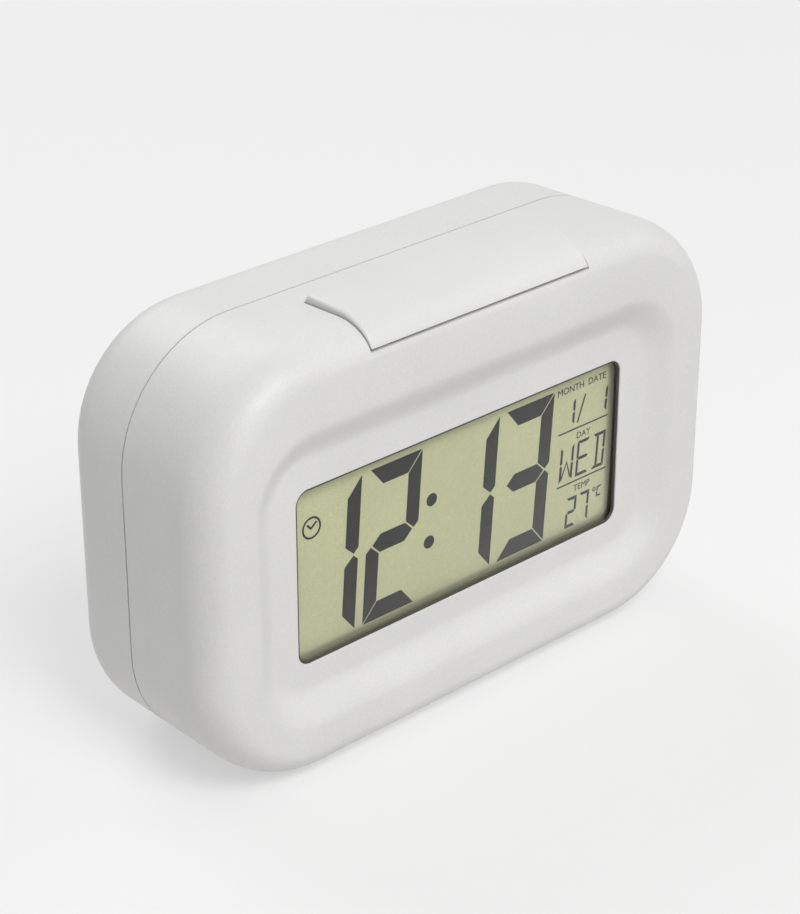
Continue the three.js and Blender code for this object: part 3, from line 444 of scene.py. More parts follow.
smooth(front_case)
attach(front_case, "housing")
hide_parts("front_case")


def new_group(name, inputs, outputs):
    """An empty shader node group with its named sockets."""
    group = bpy.data.node_groups.new(name, "ShaderNodeTree")
    for in_out, sockets in (("INPUT", inputs), ("OUTPUT", outputs)):
        for socket_name, kind in sockets.items():
            group.interface.new_socket(name=socket_name, in_out=in_out, socket_type=f"NodeSocket{kind}")
    return group


def node(tree, kind, settings=None, **links):
    """Adds a node, sets its properties, and sets or links its inputs by name."""
    made = tree.nodes.new(f"ShaderNode{kind}" if not kind.startswith("NodeGroup") else kind)
    for key, value in (settings or {}).items():
        setattr(made, key, value)
    for key, value in links.items():
        place = int(key[1:]) if key[1:].isdigit() else key.replace("_", " ")
        if isinstance(value, bpy.types.NodeSocket):
            tree.links.new(value, made.inputs[place])
        else:
            made.inputs[place].default_value = value
    return made


# The finish of moulded plastic: the eroded grain of the mould, faint flow marks in its tone, painted shade
# in the grain's pits and a slightly uneven sheen, kept in one group that every plastic piece uses with its
# own colour and grain.
moulding = new_group(
    "moulding_finish",
    {
        "Plastic": "Color",
        "Shading": "Float",
        "Grain Scale": "Float",
        "Roughness": "Float",
        "Unevenness": "Float",
    },
    {"Color": "Color", "Roughness": "Float", "Grain": "Float"},
)
given = node(moulding, "NodeGroupInput").outputs
place = node(moulding, "TexCoord").outputs["Object"]
flow = node(moulding, "TexNoise", Vector=place, Scale=38.0, Detail=2.0).outputs["Fac"]
sheen = node(moulding, "TexNoise", Vector=place, Scale=260.0, Detail=3.0).outputs["Fac"]
grain = node(moulding, "TexNoise", Vector=place, Scale=given["Grain Scale"], Detail=2.0).outputs["Fac"]
# Colour: the flow noise is the plastic's own uneven tone; the grain noise darkens its pits as painted shade.
mottle = node(moulding, "Math", {"operation": "ADD"}, _0=flow, _1=grain).outputs[0]
tone_and_pit_shift = node(moulding, "Math", {"operation": "SUBTRACT"}, _0=mottle, _1=1.0).outputs[0]
tone_and_pit_shade = node(
    moulding, "Math", {"operation": "MULTIPLY_ADD"}, _0=tone_and_pit_shift, _1=given["Shading"], _2=1.0
).outputs[0]
tint = node(moulding, "VectorMath", {"operation": "SCALE"}, _0=given["Plastic"], Scale=tone_and_pit_shade).outputs[0]
sheen_shift = node(moulding, "Math", {"operation": "SUBTRACT"}, _0=sheen, _1=0.5).outputs[0]
rough = node(
    moulding,
    "Math",
    {"operation": "MULTIPLY_ADD"},
    _0=sheen_shift,
    _1=given["Unevenness"],
    _2=given["Roughness"],
).outputs[0]
taken = node(moulding, "NodeGroupOutput")
moulding.links.new(tint, taken.inputs["Color"])
moulding.links.new(rough, taken.inputs["Roughness"])
moulding.links.new(grain, taken.inputs["Grain"])


def moulded(name, color, roughness, grain_size=0.3, grain_depth=0.014, shading=0.05, unevenness=0.1):
    """A moulded plastic: grain size and depth in millimetres."""
    material = bpy.data.materials.new(name)
    material.use_nodes = True
    tree = material.node_tree
    shader = tree.nodes["Principled BSDF"]
    finish = node(
        tree,
        "Group",
        {"node_tree": moulding},
        Plastic=(*color, 1),
        Shading=shading,
        Grain_Scale=1 / (grain_size * mm),
        Roughness=roughness,
        Unevenness=unevenness,
    ).outputs
    bump = node(tree, "Bump", Strength=0.6, Distance=grain_depth * mm, Height=finish["Grain"]).outputs[0]
    tree.links.new(finish["Color"], shader.inputs["Base Color"])
    tree.links.new(finish["Roughness"], shader.inputs["Roughness"])
    tree.links.new(bump, shader.inputs["Normal"])
    return material


case_white = moulded(
    "satin_white", (0.70, 0.695, 0.685), 0.46, grain_size=0.5, grain_depth=0.04, shading=0.13, unevenness=0.14
)
front_case.data.materials.append(case_white)

# The display window: a clear acrylic pane with softly broken edges, dropped into its rebate from behind the
# face of the case and cemented there.


def plate(name, half_width, bottom, top, radius, start, end, soft=0.15):
    """A plate with round corners and softly broken edges that faces the reader, in millimetres."""
    hoops = []
    steps = [(0, 1), (0.3, 0.3), (1, 0)]
    for along, inset in steps:
        hoops.append((inset * soft, start + along * soft))
    for along, inset in reversed(steps):
        hoops.append((inset * soft, end - along * soft))
    return skin(
        name,
        [
            ((half_width - i) * mm, (bottom + i) * mm, (top - i) * mm, max(radius - i, 0.05) * mm, y * mm)
            for i, y in hoops
        ],
    )


def clear_pane(name, tint, gloss_roughness, ior):
    """A clear sheet: it lets light straight through and mirrors the room where it is seen at a slant."""
    material = bpy.data.materials.new(name)
    material.use_nodes = True
    tree = material.node_tree
    tree.nodes.remove(tree.nodes["Principled BSDF"])
    through = node(tree, "BsdfTransparent", Color=(*tint, 1)).outputs[0]
    place = node(tree, "TexCoord").outputs["Object"]
    haze = node(tree, "TexNoise", Vector=place, Scale=900.0, Detail=3.0).outputs["Fac"]
    rough = node(
        tree, "Math", {"operation": "MULTIPLY_ADD"}, _0=haze, _1=gloss_roughness, _2=gloss_roughness / 2
    ).outputs[0]
    ripple = node(tree, "TexNoise", Vector=place, Scale=70.0, Detail=1.0).outputs["Fac"]
    waviness = node(tree, "Bump", Strength=0.2, Distance=0.02 * mm, Height=ripple).outputs[0]
    gloss = node(tree, "BsdfAnisotropic", Color=(1, 1, 1, 1), Roughness=rough, Normal=waviness).outputs[0]
    slant = node(tree, "Fresnel", IOR=ior).outputs[0]
    inside = node(tree, "NewGeometry").outputs["Backfacing"]
    outside = node(tree, "Math", {"operation": "SUBTRACT"}, _0=1.0, _1=inside).outputs[0]
    mirrored = node(tree, "Math", {"operation": "MULTIPLY"}, _0=slant, _1=outside).outputs[0]
    both = node(tree, "MixShader", _0=mirrored, _1=through, _2=gloss).outputs[0]
    tree.links.new(both, tree.nodes["Material Output"].inputs["Surface"])
    return material


lens_low, lens_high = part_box("display_lens")
lens_radius = 5
lens = plate(
    "lens_pane",
    lens_high[0] / mm,
    lens_low[2] / mm,
    lens_high[2] / mm,
    lens_radius,
    (lens_low[1] - crest) / mm,
    (lens_high[1] - crest) / mm,
)
smooth(lens)
lens.data.materials.append(clear_pane("clear_acrylic", (0.98, 0.985, 0.98), 0.04, 1.49))
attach(lens, "housing")
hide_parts("display_lens")

# The window's rubber ring: a thin dark line between the opening of the case and the pane, pressed in from
# behind. Its dark colour is partly painted shade: it draws the shadowed seam as a fine dark outline round
# the display.
seal_inset = 0.5 * mm
seal_front = panel_depth + 0.2 * mm
seal_back = lens_seat + 0.05 * mm
shade_seal = skin(
    "window_seal",
    [
        window_hoop(-0.02 * mm, seal_front + 0.1 * mm),
        window_hoop(-0.15 * mm, seal_front),
        window_hoop(-seal_inset + 0.1 * mm, seal_front + 0.08 * mm),
        window_hoop(-seal_inset, seal_front + 0.25 * mm),
        window_hoop(-seal_inset, seal_back),
        window_hoop(-0.02 * mm, seal_back),
    ],
    ends="joined",
)
smooth(shade_seal)
# Its near-black colour is painted shade for the seam round the window.
shade_seal.data.materials.append(moulded("seal_dark_painted_shade", (0.045, 0.045, 0.036), 0.6, 0.1, 0.006))
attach(shade_seal, "housing")

# The liquid crystal cell: two panes of glass sealed together, with a matt polariser on the front and an
# olive grey reflector behind. The front pane is longer, so that its contact ledges meet the rubber strips.


def dress(material, *names):
    """Gives a finish to pieces of the frame that keep their own shape."""
    for name in names:
        slots = bpy.data.objects[name].data.materials
        slots.clear()
        slots.append(material)


dress(clear_pane("polarised_glass", (0.975, 0.98, 0.965), 0.3, 1.3), "lcd_front_glass")

reflector = bpy.data.materials.new("lcd_reflector")
reflector.use_nodes = True
tree = reflector.node_tree
shader = tree.nodes["Principled BSDF"]
place = node(tree, "TexCoord").outputs["Object"]
apart = node(tree, "SeparateXYZ", Vector=place).outputs
half_span = node(tree, "Math", {"operation": "ABSOLUTE"}, _0=apart["X"]).outputs[0]
from_side = node(tree, "Math", {"operation": "SUBTRACT"}, _0=window_half, _1=half_span).outputs[0]
from_top = node(tree, "Math", {"operation": "SUBTRACT"}, _0=window_high, _1=apart["Z"]).outputs[0]
from_base = node(tree, "Math", {"operation": "SUBTRACT"}, _0=apart["Z"], _1=window_low).outputs[0]
# Painted shade: the field darkens near the window's edges, most under the top one, as the opening's shadow.
edge_shade_reach = 2.2 * mm
edge_shade_overlap = 0.2 * mm
painted_edge_shade = None
for distance, reach, depth in ((from_side, 0.7, 0.42), (from_top, 1.0, 0.5), (from_base, 0.8, 0.42)):
    side_shade = node(
        tree,
        "MapRange",
        {"interpolation_type": "SMOOTHERSTEP"},
        Value=distance,
        From_Min=-edge_shade_overlap,
        From_Max=edge_shade_reach * reach,
        To_Min=1 - depth,
        To_Max=1.0,
    ).outputs[0]
    if painted_edge_shade is None:
        painted_edge_shade = side_shade
    else:
        painted_edge_shade = node(tree, "Math", {"operation": "MULTIPLY"}, _0=painted_edge_shade, _1=side_shade).outputs[0]
mottle = node(tree, "TexNoise", Vector=place, Scale=2600.0, Detail=3.0, Roughness=0.7).outputs["Fac"]
cloud = node(tree, "TexNoise", Vector=place, Scale=45.0, Detail=1.0).outputs["Fac"]
speckle = node(tree, "MapRange", Value=mottle, From_Min=0.3, From_Max=0.7, To_Min=0.9, To_Max=1.1).outputs[0]
drift = node(tree, "MapRange", Value=cloud, From_Min=0.3, From_Max=0.7, To_Min=0.96, To_Max=1.04).outputs[0]
uneven = node(tree, "Math", {"operation": "MULTIPLY"}, _0=speckle, _1=drift).outputs[0]
unevenness_and_edge_shade = node(tree, "Math", {"operation": "MULTIPLY"}, _0=uneven, _1=painted_edge_shade).outputs[0]
olive_grey = (0.69, 0.672, 0.43)
olive = node(tree, "VectorMath", {"operation": "SCALE"}, _0=olive_grey, Scale=unevenness_and_edge_shade).outputs[0]
sparkle = node(tree, "Bump", Strength=0.3, Distance=0.01 * mm, Height=mottle).outputs[0]
tree.links.new(olive, shader.inputs["Base Color"])
shader.inputs["Specular IOR Level"].default_value = 0.2
tree.links.new(sparkle, shader.inputs["Normal"])
shader.inputs["Roughness"].default_value = 0.6
dress(reflector, "lcd_rear_glass")

# What the display shows: dark segments in the liquid crystal, each etched with a fine gap to its neighbour.
# The figures lean, and the time is far larger than the date, the day and the temperature beside it.
ink_thickness = 0.04
ink_depth = (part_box("lcd_rear_glass")[0][1] - crest) / mm - 1.5 * ink_thickness
shown_right, shown_down = 0.8, 0.8
lean_degrees = 4.15
lean = math.tan(math.radians(lean_degrees))
marks = []


def ink(points):
    """A flat dark shape in the liquid crystal, from its corners across and up in millimetres."""
    bpy.ops.mesh.primitive_circle_add(vertices=len(points), radius=mm, fill_type="NGON")
    mark = bpy.context.object
    for corner, (x, z) in zip(mark.data.vertices, points):
        corner.co = ((x + shown_right) * mm, crest + ink_depth * mm, (z - shown_down) * mm)
    marks.append(mark)


def stroke(start, end, width):
    """A straight line of ink with square ends."""
    along = (end[0] - start[0], end[1] - start[1])
    length = math.hypot(*along)
    across = (-along[1] / length * width / 2, along[0] / length * width / 2)
    corners = ((start, 1), (start, -1), (end, -1), (end, 1))
    ink([(point[0] + side * across[0], point[1] + side * across[1]) for point, side in corners])


figures = {
    "1": "bc",
    "2": "abged",
    "3": "abgcd",
    "7": "abc",
    "E": "adefg",
    "D": "abcdm",
    "W": "bcefv",
    "C": "adef",
}


def figure(sign, left, base, width, height, upright, level, gap):
    """A sign made of segments with mitred ends, in a leaning cell whose lower left corner is given."""
    e = gap / 2
    middle = height / 2
    tip = 0.35 * upright
    rise = level / 2 * tip / (upright - tip)
    right = [
        (width, height - e),
        (width, middle + e + rise),
        (width - tip, middle + e),
        (width - upright, middle + level / 2 + e),
        (width - upright, height - level - e),
    ]
    shapes = {
        "a": [
            (e, height),
            (width - e, height),
            (width - upright - e, height - level),
            (upright + e, height - level),
        ],
        "b": right,
        "c": [(x, height - z) for x, z in right],
        "e": [(width - x, height - z) for x, z in right],
        "f": [(width - x, z) for x, z in right],
        "g": [
            (tip + gap, middle),
            (upright + e, middle + level / 2),
            (width - upright - e, middle + level / 2),
            (width - tip - gap, middle),
            (width - upright - e, middle - level / 2),
            (upright + e, middle - level / 2),
        ],
        "m": [
            (width * 0.3, level + e),
            (width * 0.3 + upright, level + e),
            (width * 0.3 + upright, height - level - e),
            (width * 0.3, height - level - e),
        ],
        "v": [
            (upright + e, level * 0.4),
            (width / 2, middle),
            (width - upright - e, level * 0.4),
            (width - upright - e, level * 2),
            (width / 2, middle + level),
            (upright + e, level * 2),
        ],
    }
    shapes["d"] = [(x, height - z) for x, z in shapes["a"]]
    for name in figures[sign]:
        ink([(left + x + z * lean, base + z) for x, z in shapes[name]])


time_base, time_width, time_height = 24.7, 13.7, 33.1
large_upright, large_level, large_gap = 3.4, 3.9, 0.4
for sign, left in (("1", -42.2), ("2", -26.4), ("1", -5.3), ("3", 10.3)):
    figure(sign, left, time_base, time_width, time_height, large_upright, large_level, large_gap)
date_base, day_base, degrees_base = 48.7, 36.2, 24.9
date_height, day_height, degrees_height = 5.8, 8.0, 6.9
small_upright, small_level, small_gap = 0.62, 0.68, 0.14
for sign, left, base, width, height in (
    ("1", 29.4, date_base, 3.0, date_height),
    ("1", 39.0, date_base, 3.0, date_height),
    ("W", 28.3, day_base, 3.9, day_height),
    ("E", 33.2, day_base, 3.7, day_height),
    ("D", 37.9, day_base, 3.7, day_height),
    ("2", 30.5, degrees_base, 3.0, degrees_height),
    ("7", 34.3, degrees_base, 3.0, degrees_height),
):
    figure(sign, left, base, width, height, small_upright, small_level, small_gap)
stroke((33.4, date_base), (35.6, 54.5), 0.4)
rule_left, rule_right, rule_width = 27.9, 42.5, 0.32
for rule_height in (47.5, 35.3):
    stroke((rule_left, rule_height), (rule_right, rule_height), rule_width)


def disc(x, z, radius, sides=32):
    """The corners of a round shape."""
    turns = [2 * math.pi * i / sides for i in range(sides)]
    return [(x + radius * math.cos(t), z + radius * math.sin(t)) for t in turns]


colon_radius = 1.4
ink(disc(-7.8, 45.7, colon_radius))
ink(disc(-8.5, 36.5, colon_radius))


def circle_line(x, z, radius, width, sides=40):
    """A circle drawn as a line: short pieces that share their ends."""
    outer, inner = disc(x, z, radius, sides), disc(x, z, radius - width, sides)
    for i in range(sides):
        j = (i + 1) % sides
        ink([outer[i], outer[j], inner[j], inner[i]])


alarm_line = 0.42
circle_line(-39.0, 51.0, 2.35, alarm_line)
stroke((-40.1, 51.9), (-39.1, 50.8), alarm_line)
stroke((-39.3, 50.8), (-37.7, 52.0), alarm_line)
degree_line, unit_line = 0.22, 0.35
circle_line(39.2, 31.2, 0.5, degree_line, 16)
figure("C", 39.9, 29.2, 1.5, 2.4, unit_line, unit_line, 0.06)
capital_share = 0.73


def lettering(word, x, depth, z, cap_height, turn=0):
    """A word as a flat shape, facing the reader or, with half a turn, the back."""
    bpy.ops.object.text_add(location=(x * mm, crest + depth * mm, z * mm), rotation=(math.pi / 2, 0, turn))
    label = bpy.context.object
    label.data.body = word
    label.data.align_x = "CENTER"
    label.data.size = cap_height / capital_share * mm
    label.data.resolution_u = 3
    bpy.ops.object.convert(target="MESH")
    label = bpy.context.object
    bpy.ops.object.transform_apply(location=True, rotation=True, scale=True)
    return label


words = {
    "MONTH": (31.2, 56.3, 1.55),
    "DATE": (38.9, 56.3, 1.55),
    "DAY": (35.3, 45.0, 1.5),
    "TEMP": (35.3, 32.9, 1.5),
}
for word, (x, z, cap_height) in words.items():
    marks.append(lettering(word, x + shown_right, ink_depth, z - shown_down, cap_height))


def ink_layer(name, shapes, thickness):
    """Joins flat shapes into one piece and gives it a thickness, away from the front of the clock."""
    bpy.ops.object.select_all(action="DESELECT")
    for shape in shapes:
        shape.select_set(True)
    layer = shapes[0]
    bpy.context.view_layer.objects.active = layer
    bpy.ops.object.join()
    layer.name = name
    bpy.ops.object.mode_set(mode="EDIT")
    bpy.ops.mesh.select_all(action="SELECT")
    bpy.ops.mesh.remove_doubles(threshold=0.001 * mm)
    bpy.ops.mesh.extrude_region_move(TRANSFORM_OT_translate={"value": (0, thickness * mm, 0)})
    bpy.ops.mesh.select_all(action="SELECT")
    bpy.ops.mesh.normals_make_consistent(inside=False)
    bpy.ops.object.mode_set(mode="OBJECT")
    return layer


segments = ink_layer("lcd_segments", marks, ink_thickness)
liquid_crystal = moulded("liquid_crystal_dark", (0.012, 0.013, 0.012), 0.6, 0.08, 0.002, 0.12, 0.05)
liquid_crystal.node_tree.nodes["Principled BSDF"].inputs["Specular IOR Level"].default_value = 0.1
segments.data.materials.append(liquid_crystal)
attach(segments, "housing")

# The light plate and its lamp: a clear acrylic sheet behind the display with a frosted dot pattern, which a
# small white lamp lights through its left end. Both drop into the holder.
guide_low, guide_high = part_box("light_guide")
guide_radius = 1
guide = plate(
    "guide_sheet",
    guide_high[0] / mm,
    guide_low[2] / mm,
    guide_high[2] / mm,
    guide_radius,
    (guide_low[1] - crest) / mm,
    (guide_high[1] - crest) / mm,
)
smooth(guide)
frosted = bpy.data.materials.new("frosted_acrylic")
frosted.use_nodes = True
tree = frosted.node_tree
shader = tree.nodes["Principled BSDF"]
place = node(tree, "TexCoord").outputs["Object"]
dot_pitch = 1.1 * mm
dots = node(tree, "TexVoronoi", Vector=place, Scale=1 / dot_pitch).outputs["Distance"]
frosting = node(tree, "MapRange", Value=dots, From_Min=0.2, From_Max=0.3, To_Min=1.0, To_Max=0.0).outputs[0]
milk = node(
    tree, "Mix", {"data_type": "RGBA"}, _0=frosting, _6=(0.83, 0.86, 0.84, 1), _7=(0.9, 0.9, 0.89, 1)
).outputs[2]
dull = node(tree, "MapRange", Value=frosting, To_Min=0.12, To_Max=0.6).outputs[0]
etched = node(tree, "Bump", Strength=0.5, Distance=0.03 * mm, Height=frosting).outputs[0]
tree.links.new(milk, shader.inputs["Base Color"])
tree.links.new(dull, shader.inputs["Roughness"])
tree.links.new(etched, shader.inputs["Normal"])
shader.inputs["Transmission Weight"].default_value = 0.6
guide.data.materials.append(frosted)
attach(guide, "housing")
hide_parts("light_guide")


def rounded(piece, width, segments=2):
    """Breaks all the sharp edges of a piece, with a width in millimetres."""
    bpy.ops.object.select_all(action="DESELECT")
    piece.select_set(True)
    bpy.context.view_layer.objects.active = piece
    step = piece.modifiers.new("edges", "BEVEL")
    step.width = width * mm
    step.segments = segments
    step.limit_method = "ANGLE"
    step.angle_limit = math.radians(40)
    bpy.ops.object.modifier_apply(modifier=step.name)


def around(node_name):
    """The lowest and highest corner of a piece of the frame in millimetres: across, depth, height."""
    lowest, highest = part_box(node_name)
    return tuple(
        (corner[0] / mm, (corner[1] - crest) / mm, corner[2] / mm) for corner in (lowest, highest)
    )


def turned(name, profile, x, z, steps=48):
    """A piece of revolution about a line from front to back: its profile in pairs of radius and depth."""
    bpy.ops.mesh.primitive_circle_add(vertices=3, radius=mm, fill_type="NOTHING", location=(0, 0, 0))
    made = bpy.context.object
    made.name = name
    bpy.ops.object.mode_set(mode="EDIT")
    bpy.ops.mesh.select_all(action="SELECT")
    bpy.ops.mesh.delete(type="EDGE_FACE")
    bpy.ops.mesh.select_all(action="DESELECT")
    bpy.ops.object.mode_set(mode="OBJECT")
    made.data.vertices[0].select = True
    made.data.vertices[0].co = (x * mm, crest + profile[0][1] * mm, z * mm)
    bpy.ops.object.mode_set(mode="EDIT")
    for start, end in zip(profile, profile[1:]):
        step = ((end[0] - start[0]) * mm, (end[1] - start[1]) * mm, 0)
        bpy.ops.mesh.extrude_region_move(TRANSFORM_OT_translate={"value": step})
    bpy.ops.mesh.select_linked()
    bpy.ops.mesh.spin(
        steps=steps, angle=2 * math.pi, center=(x * mm, 0, z * mm), axis=(0, 1, 0), use_auto_merge=True
    )
    bpy.ops.mesh.select_all(action="SELECT")
    bpy.ops.mesh.remove_doubles(threshold=0.002 * mm)
    bpy.ops.mesh.delete_loose()
    bpy.ops.mesh.select_all(action="SELECT")
    bpy.ops.mesh.normals_make_consistent(inside=False)
    bpy.ops.object.mode_set(mode="OBJECT")
    return made


def laid_across(piece, x, depth, z):
    """Turns a piece made from front to back so that it lies from left to right, starting at a place."""
    bpy.ops.object.select_all(action="DESELECT")
    piece.select_set(True)
    bpy.context.view_layer.objects.active = piece
    piece.rotation_euler = (0, 0, -math.pi / 2)
    bpy.ops.object.transform_apply(location=True, rotation=True, scale=True)
    piece.location = (x * mm - crest, crest + depth * mm, z * mm)
    bpy.ops.object.transform_apply(location=True, rotation=True, scale=True)


(lamp_left, lamp_front, lamp_low), (_, lamp_back, lamp_high) = around("backlight_led")
cup_depth = 1.3
lamp = block("lamp_cup", (lamp_left, lamp_front, lamp_low), (lamp_left + cup_depth, lamp_back, lamp_high))
rounded(lamp, 0.15)
dome_offset, dome_root, dome_foot, dome_rise, dome_steps = 0.65, -0.4, 0.1, 0.6, 8
lamp_middle, lamp_height = (lamp_front + lamp_back) / 2 - dome_offset, (lamp_low + lamp_high) / 2
dome_profile = [(0, dome_root), (1.0, dome_root), (1.0, dome_foot)]
for step in range(1, dome_steps + 1):
    angle = math.pi / 2 * step / dome_steps
    dome_profile.append((math.cos(angle), dome_foot + dome_rise * math.sin(angle)))
lens_dome = turned("lamp_dome", dome_profile, 0, 0, 32)
laid_across(lens_dome, lamp_left + cup_depth, lamp_middle, lamp_height)
combine(lamp, "UNION", [lens_dome])
smooth(lamp)
lamp.data.materials.append(moulded("lamp_cup_white", (0.8, 0.8, 0.78), 0.35, 0.1, 0.004))
lamp.data.materials.append(moulded("phosphor_epoxy", (0.75, 0.62, 0.12), 0.2, 0.3, 0.004))
for polygon in lamp.data.polygons:
    polygon.material_index = 1 if polygon.center.x / mm > lamp_left + cup_depth + 0.01 else 0
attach(lamp, "housing")
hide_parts("backlight_led")

# The holder of the display: a white moulded frame that keeps the glass, the rubber strips and the light plate
# in their places between the face and the board.
dress(moulded("holder_white", (0.78, 0.78, 0.75), 0.5, 0.2, 0.01), "lcd_holder")

# The contact strips: silicone rubber in thin layers, conducting and insulating by turns, pressed between the
# ledges of the front glass and the pads of the board.
layer_pitch = 0.36 * mm
layered = moulded("layered_rubber", (0.05, 0.05, 0.05), 0.75, 0.1, 0.006)
tree = layered.node_tree
across = node(tree, "SeparateXYZ", Vector=node(tree, "TexCoord").outputs["Object"]).outputs["X"]
count = node(tree, "Math", {"operation": "DIVIDE"}, _0=across, _1=layer_pitch).outputs[0]
phase = node(tree, "Math", {"operation": "FRACT"}, _0=count).outputs[0]
pale_layer = node(tree, "Math", {"operation": "GREATER_THAN"}, _0=phase, _1=0.5).outputs[0]
layers = node(
    tree, "Mix", {"data_type": "RGBA"}, _0=pale_layer, _6=(0.02, 0.02, 0.02, 1), _7=(0.12, 0.11, 0.1, 1)
).outputs[2]
tree.links.new(layers, tree.nodes["Principled BSDF"].inputs["Base Color"])
for place_name in ("upper", "lower"):
    low_corner, high_corner = around(f"zebra_strip_{place_name}")
    strip = block(f"rubber_strip_{place_name}", low_corner, high_corner)
    rounded(strip, 0.2, 3)
    smooth(strip)
    strip.data.materials.append(layered)
    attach(strip, "housing")
    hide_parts(f"zebra_strip_{place_name}")

# The main board: glass epoxy under green solder mask, with copper tracks below it and tinned pads on it.
# Four screws hold it, and the holder with it, to bosses inside the face.
board_finish = new_group(
    "board_finish",
    {"Mask": "Color", "Track Pitch": "Float"},
    {"Color": "Color", "Roughness": "Float", "Relief": "Float", "Tin": "Float"},
)
given = node(board_finish, "NodeGroupInput").outputs
place = node(board_finish, "TexCoord").outputs["Object"]
apart = node(board_finish, "SeparateXYZ", Vector=place).outputs
lying = node(board_finish, "CombineXYZ", X=apart["X"], Y=apart["Z"]).outputs[0]
standing = node(board_finish, "CombineXYZ", X=apart["Z"], Y=apart["X"]).outputs[0]
tracks = []
for layout in (lying, standing):
    spread = node(
        board_finish, "VectorMath", {"operation": "SCALE"}, _0=layout, Scale=given["Track Pitch"]
    ).outputs[0]
    tracks.append(
        node(
            board_finish,
            "TexBrick",
            Vector=spread,
            Scale=1.0,
            Mortar_Size=0.16,
            Mortar_Smooth=0.1,
            Brick_Width=6.5,
            Row_Height=1.0,
        ).outputs["Fac"]
    )
region = node(board_finish, "TexNoise", Vector=place, Scale=95.0, Detail=0.0).outputs["Fac"]
turn = node(board_finish, "Math", {"operation": "GREATER_THAN"}, _0=region, _1=0.5).outputs[0]
track = node(board_finish, "Mix", _0=turn, _2=tracks[0], _3=tracks[1]).outputs[0]
pad_pitch, pad_radius = 3.4 * mm, 0.17
cells = node(board_finish, "TexVoronoi", Vector=lying, Scale=1 / pad_pitch)
pad_round = node(
    board_finish, "Math", {"operation": "LESS_THAN"}, _0=cells.outputs["Distance"], _1=pad_radius
).outputs[0]
chance = node(board_finish, "SeparateXYZ", Vector=cells.outputs["Color"]).outputs["X"]
pad_there = node(board_finish, "Math", {"operation": "GREATER_THAN"}, _0=chance, _1=0.72).outputs[0]
tin = node(board_finish, "Math", {"operation": "MULTIPLY"}, _0=pad_round, _1=pad_there).outputs[0]
over_copper = node(board_finish, "VectorMath", {"operation": "SCALE"}, _0=given["Mask"], Scale=2.1).outputs[0]
masked = node(
    board_finish, "Mix", {"data_type": "RGBA"}, _0=track, _6=given["Mask"], _7=over_copper
).outputs[2]
faced = node(
    board_finish, "Mix", {"data_type": "RGBA"}, _0=tin, _6=masked, _7=(0.62, 0.62, 0.6, 1)
).outputs[2]
dulled = node(board_finish, "MapRange", Value=tin, To_Min=0.42, To_Max=0.28).outputs[0]
relief = node(board_finish, "Math", {"operation": "MAXIMUM"}, _0=track, _1=tin).outputs[0]
taken = node(board_finish, "NodeGroupOutput")
for socket_name, value in (("Color", faced), ("Roughness", dulled), ("Relief", relief), ("Tin", tin)):
    board_finish.links.new(value, taken.inputs[socket_name])


def board_mask(name, color, track_pitch):
    """A printed board's surface: the colour of its mask and the pitch of its tracks in millimetres."""
    material = bpy.data.materials.new(name)
    material.use_nodes = True
    tree = material.node_tree
    shader = tree.nodes["Principled BSDF"]
    finish = node(
        tree, "Group", {"node_tree": board_finish}, Mask=(*color, 1), Track_Pitch=1 / (track_pitch * mm)
    ).outputs
    raised = node(tree, "Bump", Strength=0.6, Distance=0.04 * mm, Height=finish["Relief"]).outputs[0]
    tree.links.new(finish["Color"], shader.inputs["Base Color"])
    tree.links.new(finish["Roughness"], shader.inputs["Roughness"])
    tree.links.new(finish["Tin"], shader.inputs["Metallic"])
    tree.links.new(raised, shader.inputs["Normal"])
    return material


dress(board_mask("green_mask", (0.035, 0.14, 0.055), 1.5), "main_board")

# The chip cover: a low drop of black epoxy resin, poured over the bare chip on the back of the board. It sets
# as a blunt dome with a rounded foot.
chip_low, chip_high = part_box("chip_cover")
chip_x, chip_z = (chip_low[0] + chip_high[0]) / 2 / mm, (chip_low[2] + chip_high[2]) / 2 / mm
chip_radius = (chip_high[0] - chip_low[0]) / 2 / mm
chip_face, chip_rise = (chip_low[1] - crest) / mm, (chip_high[1] - chip_low[1]) / mm
dome = [(0, 0), (1.0, 0)]
drop_steps = 12
for step in range(1, drop_steps + 1):
    angle = math.pi / 2 * step / drop_steps
    dome.append((math.cos(angle) ** 0.7, math.sin(angle) ** 0.85))
drop_profile = [(radius * chip_radius, chip_face + rise * chip_rise) for radius, rise in dome]
drop = turned("resin_drop", drop_profile, chip_x, chip_z, 56)
smooth(drop)
drop.data.materials.append(moulded("cast_resin", (0.01, 0.01, 0.012), 0.22, 1.4, 0.03, 0.3))
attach(drop, "housing")
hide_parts("chip_cover")

# The timing crystal: a drawn metal can with rounded ends that lies on the back of the board, with its two
# wires soldered underneath it.
drawn_metal = new_group(
    "drawn_metal",
    {"Metal": "Color", "Line Scale": "Float", "Roughness": "Float"},
    {"Color": "Color", "Roughness": "Float", "Lines": "Float"},
)
given = node(drawn_metal, "NodeGroupInput").outputs
place = node(drawn_metal, "TexCoord").outputs["Object"]
stretched = node(drawn_metal, "Mapping", Vector=place, Scale=(1.0, 9.0, 9.0)).outputs[0]
lines = node(drawn_metal, "TexNoise", Vector=stretched, Scale=given["Line Scale"], Detail=3.0).outputs["Fac"]
stain = node(drawn_metal, "TexNoise", Vector=place, Scale=420.0, Detail=2.0).outputs["Fac"]
darker = node(
    drawn_metal, "MapRange", Value=stain, From_Min=0.3, From_Max=0.7, To_Min=0.9, To_Max=1.06
).outputs[0]
toned = node(drawn_metal, "VectorMath", {"operation": "SCALE"}, _0=given["Metal"], Scale=darker).outputs[0]
spread = node(drawn_metal, "Math", {"operation": "SUBTRACT"}, _0=lines, _1=0.5).outputs[0]
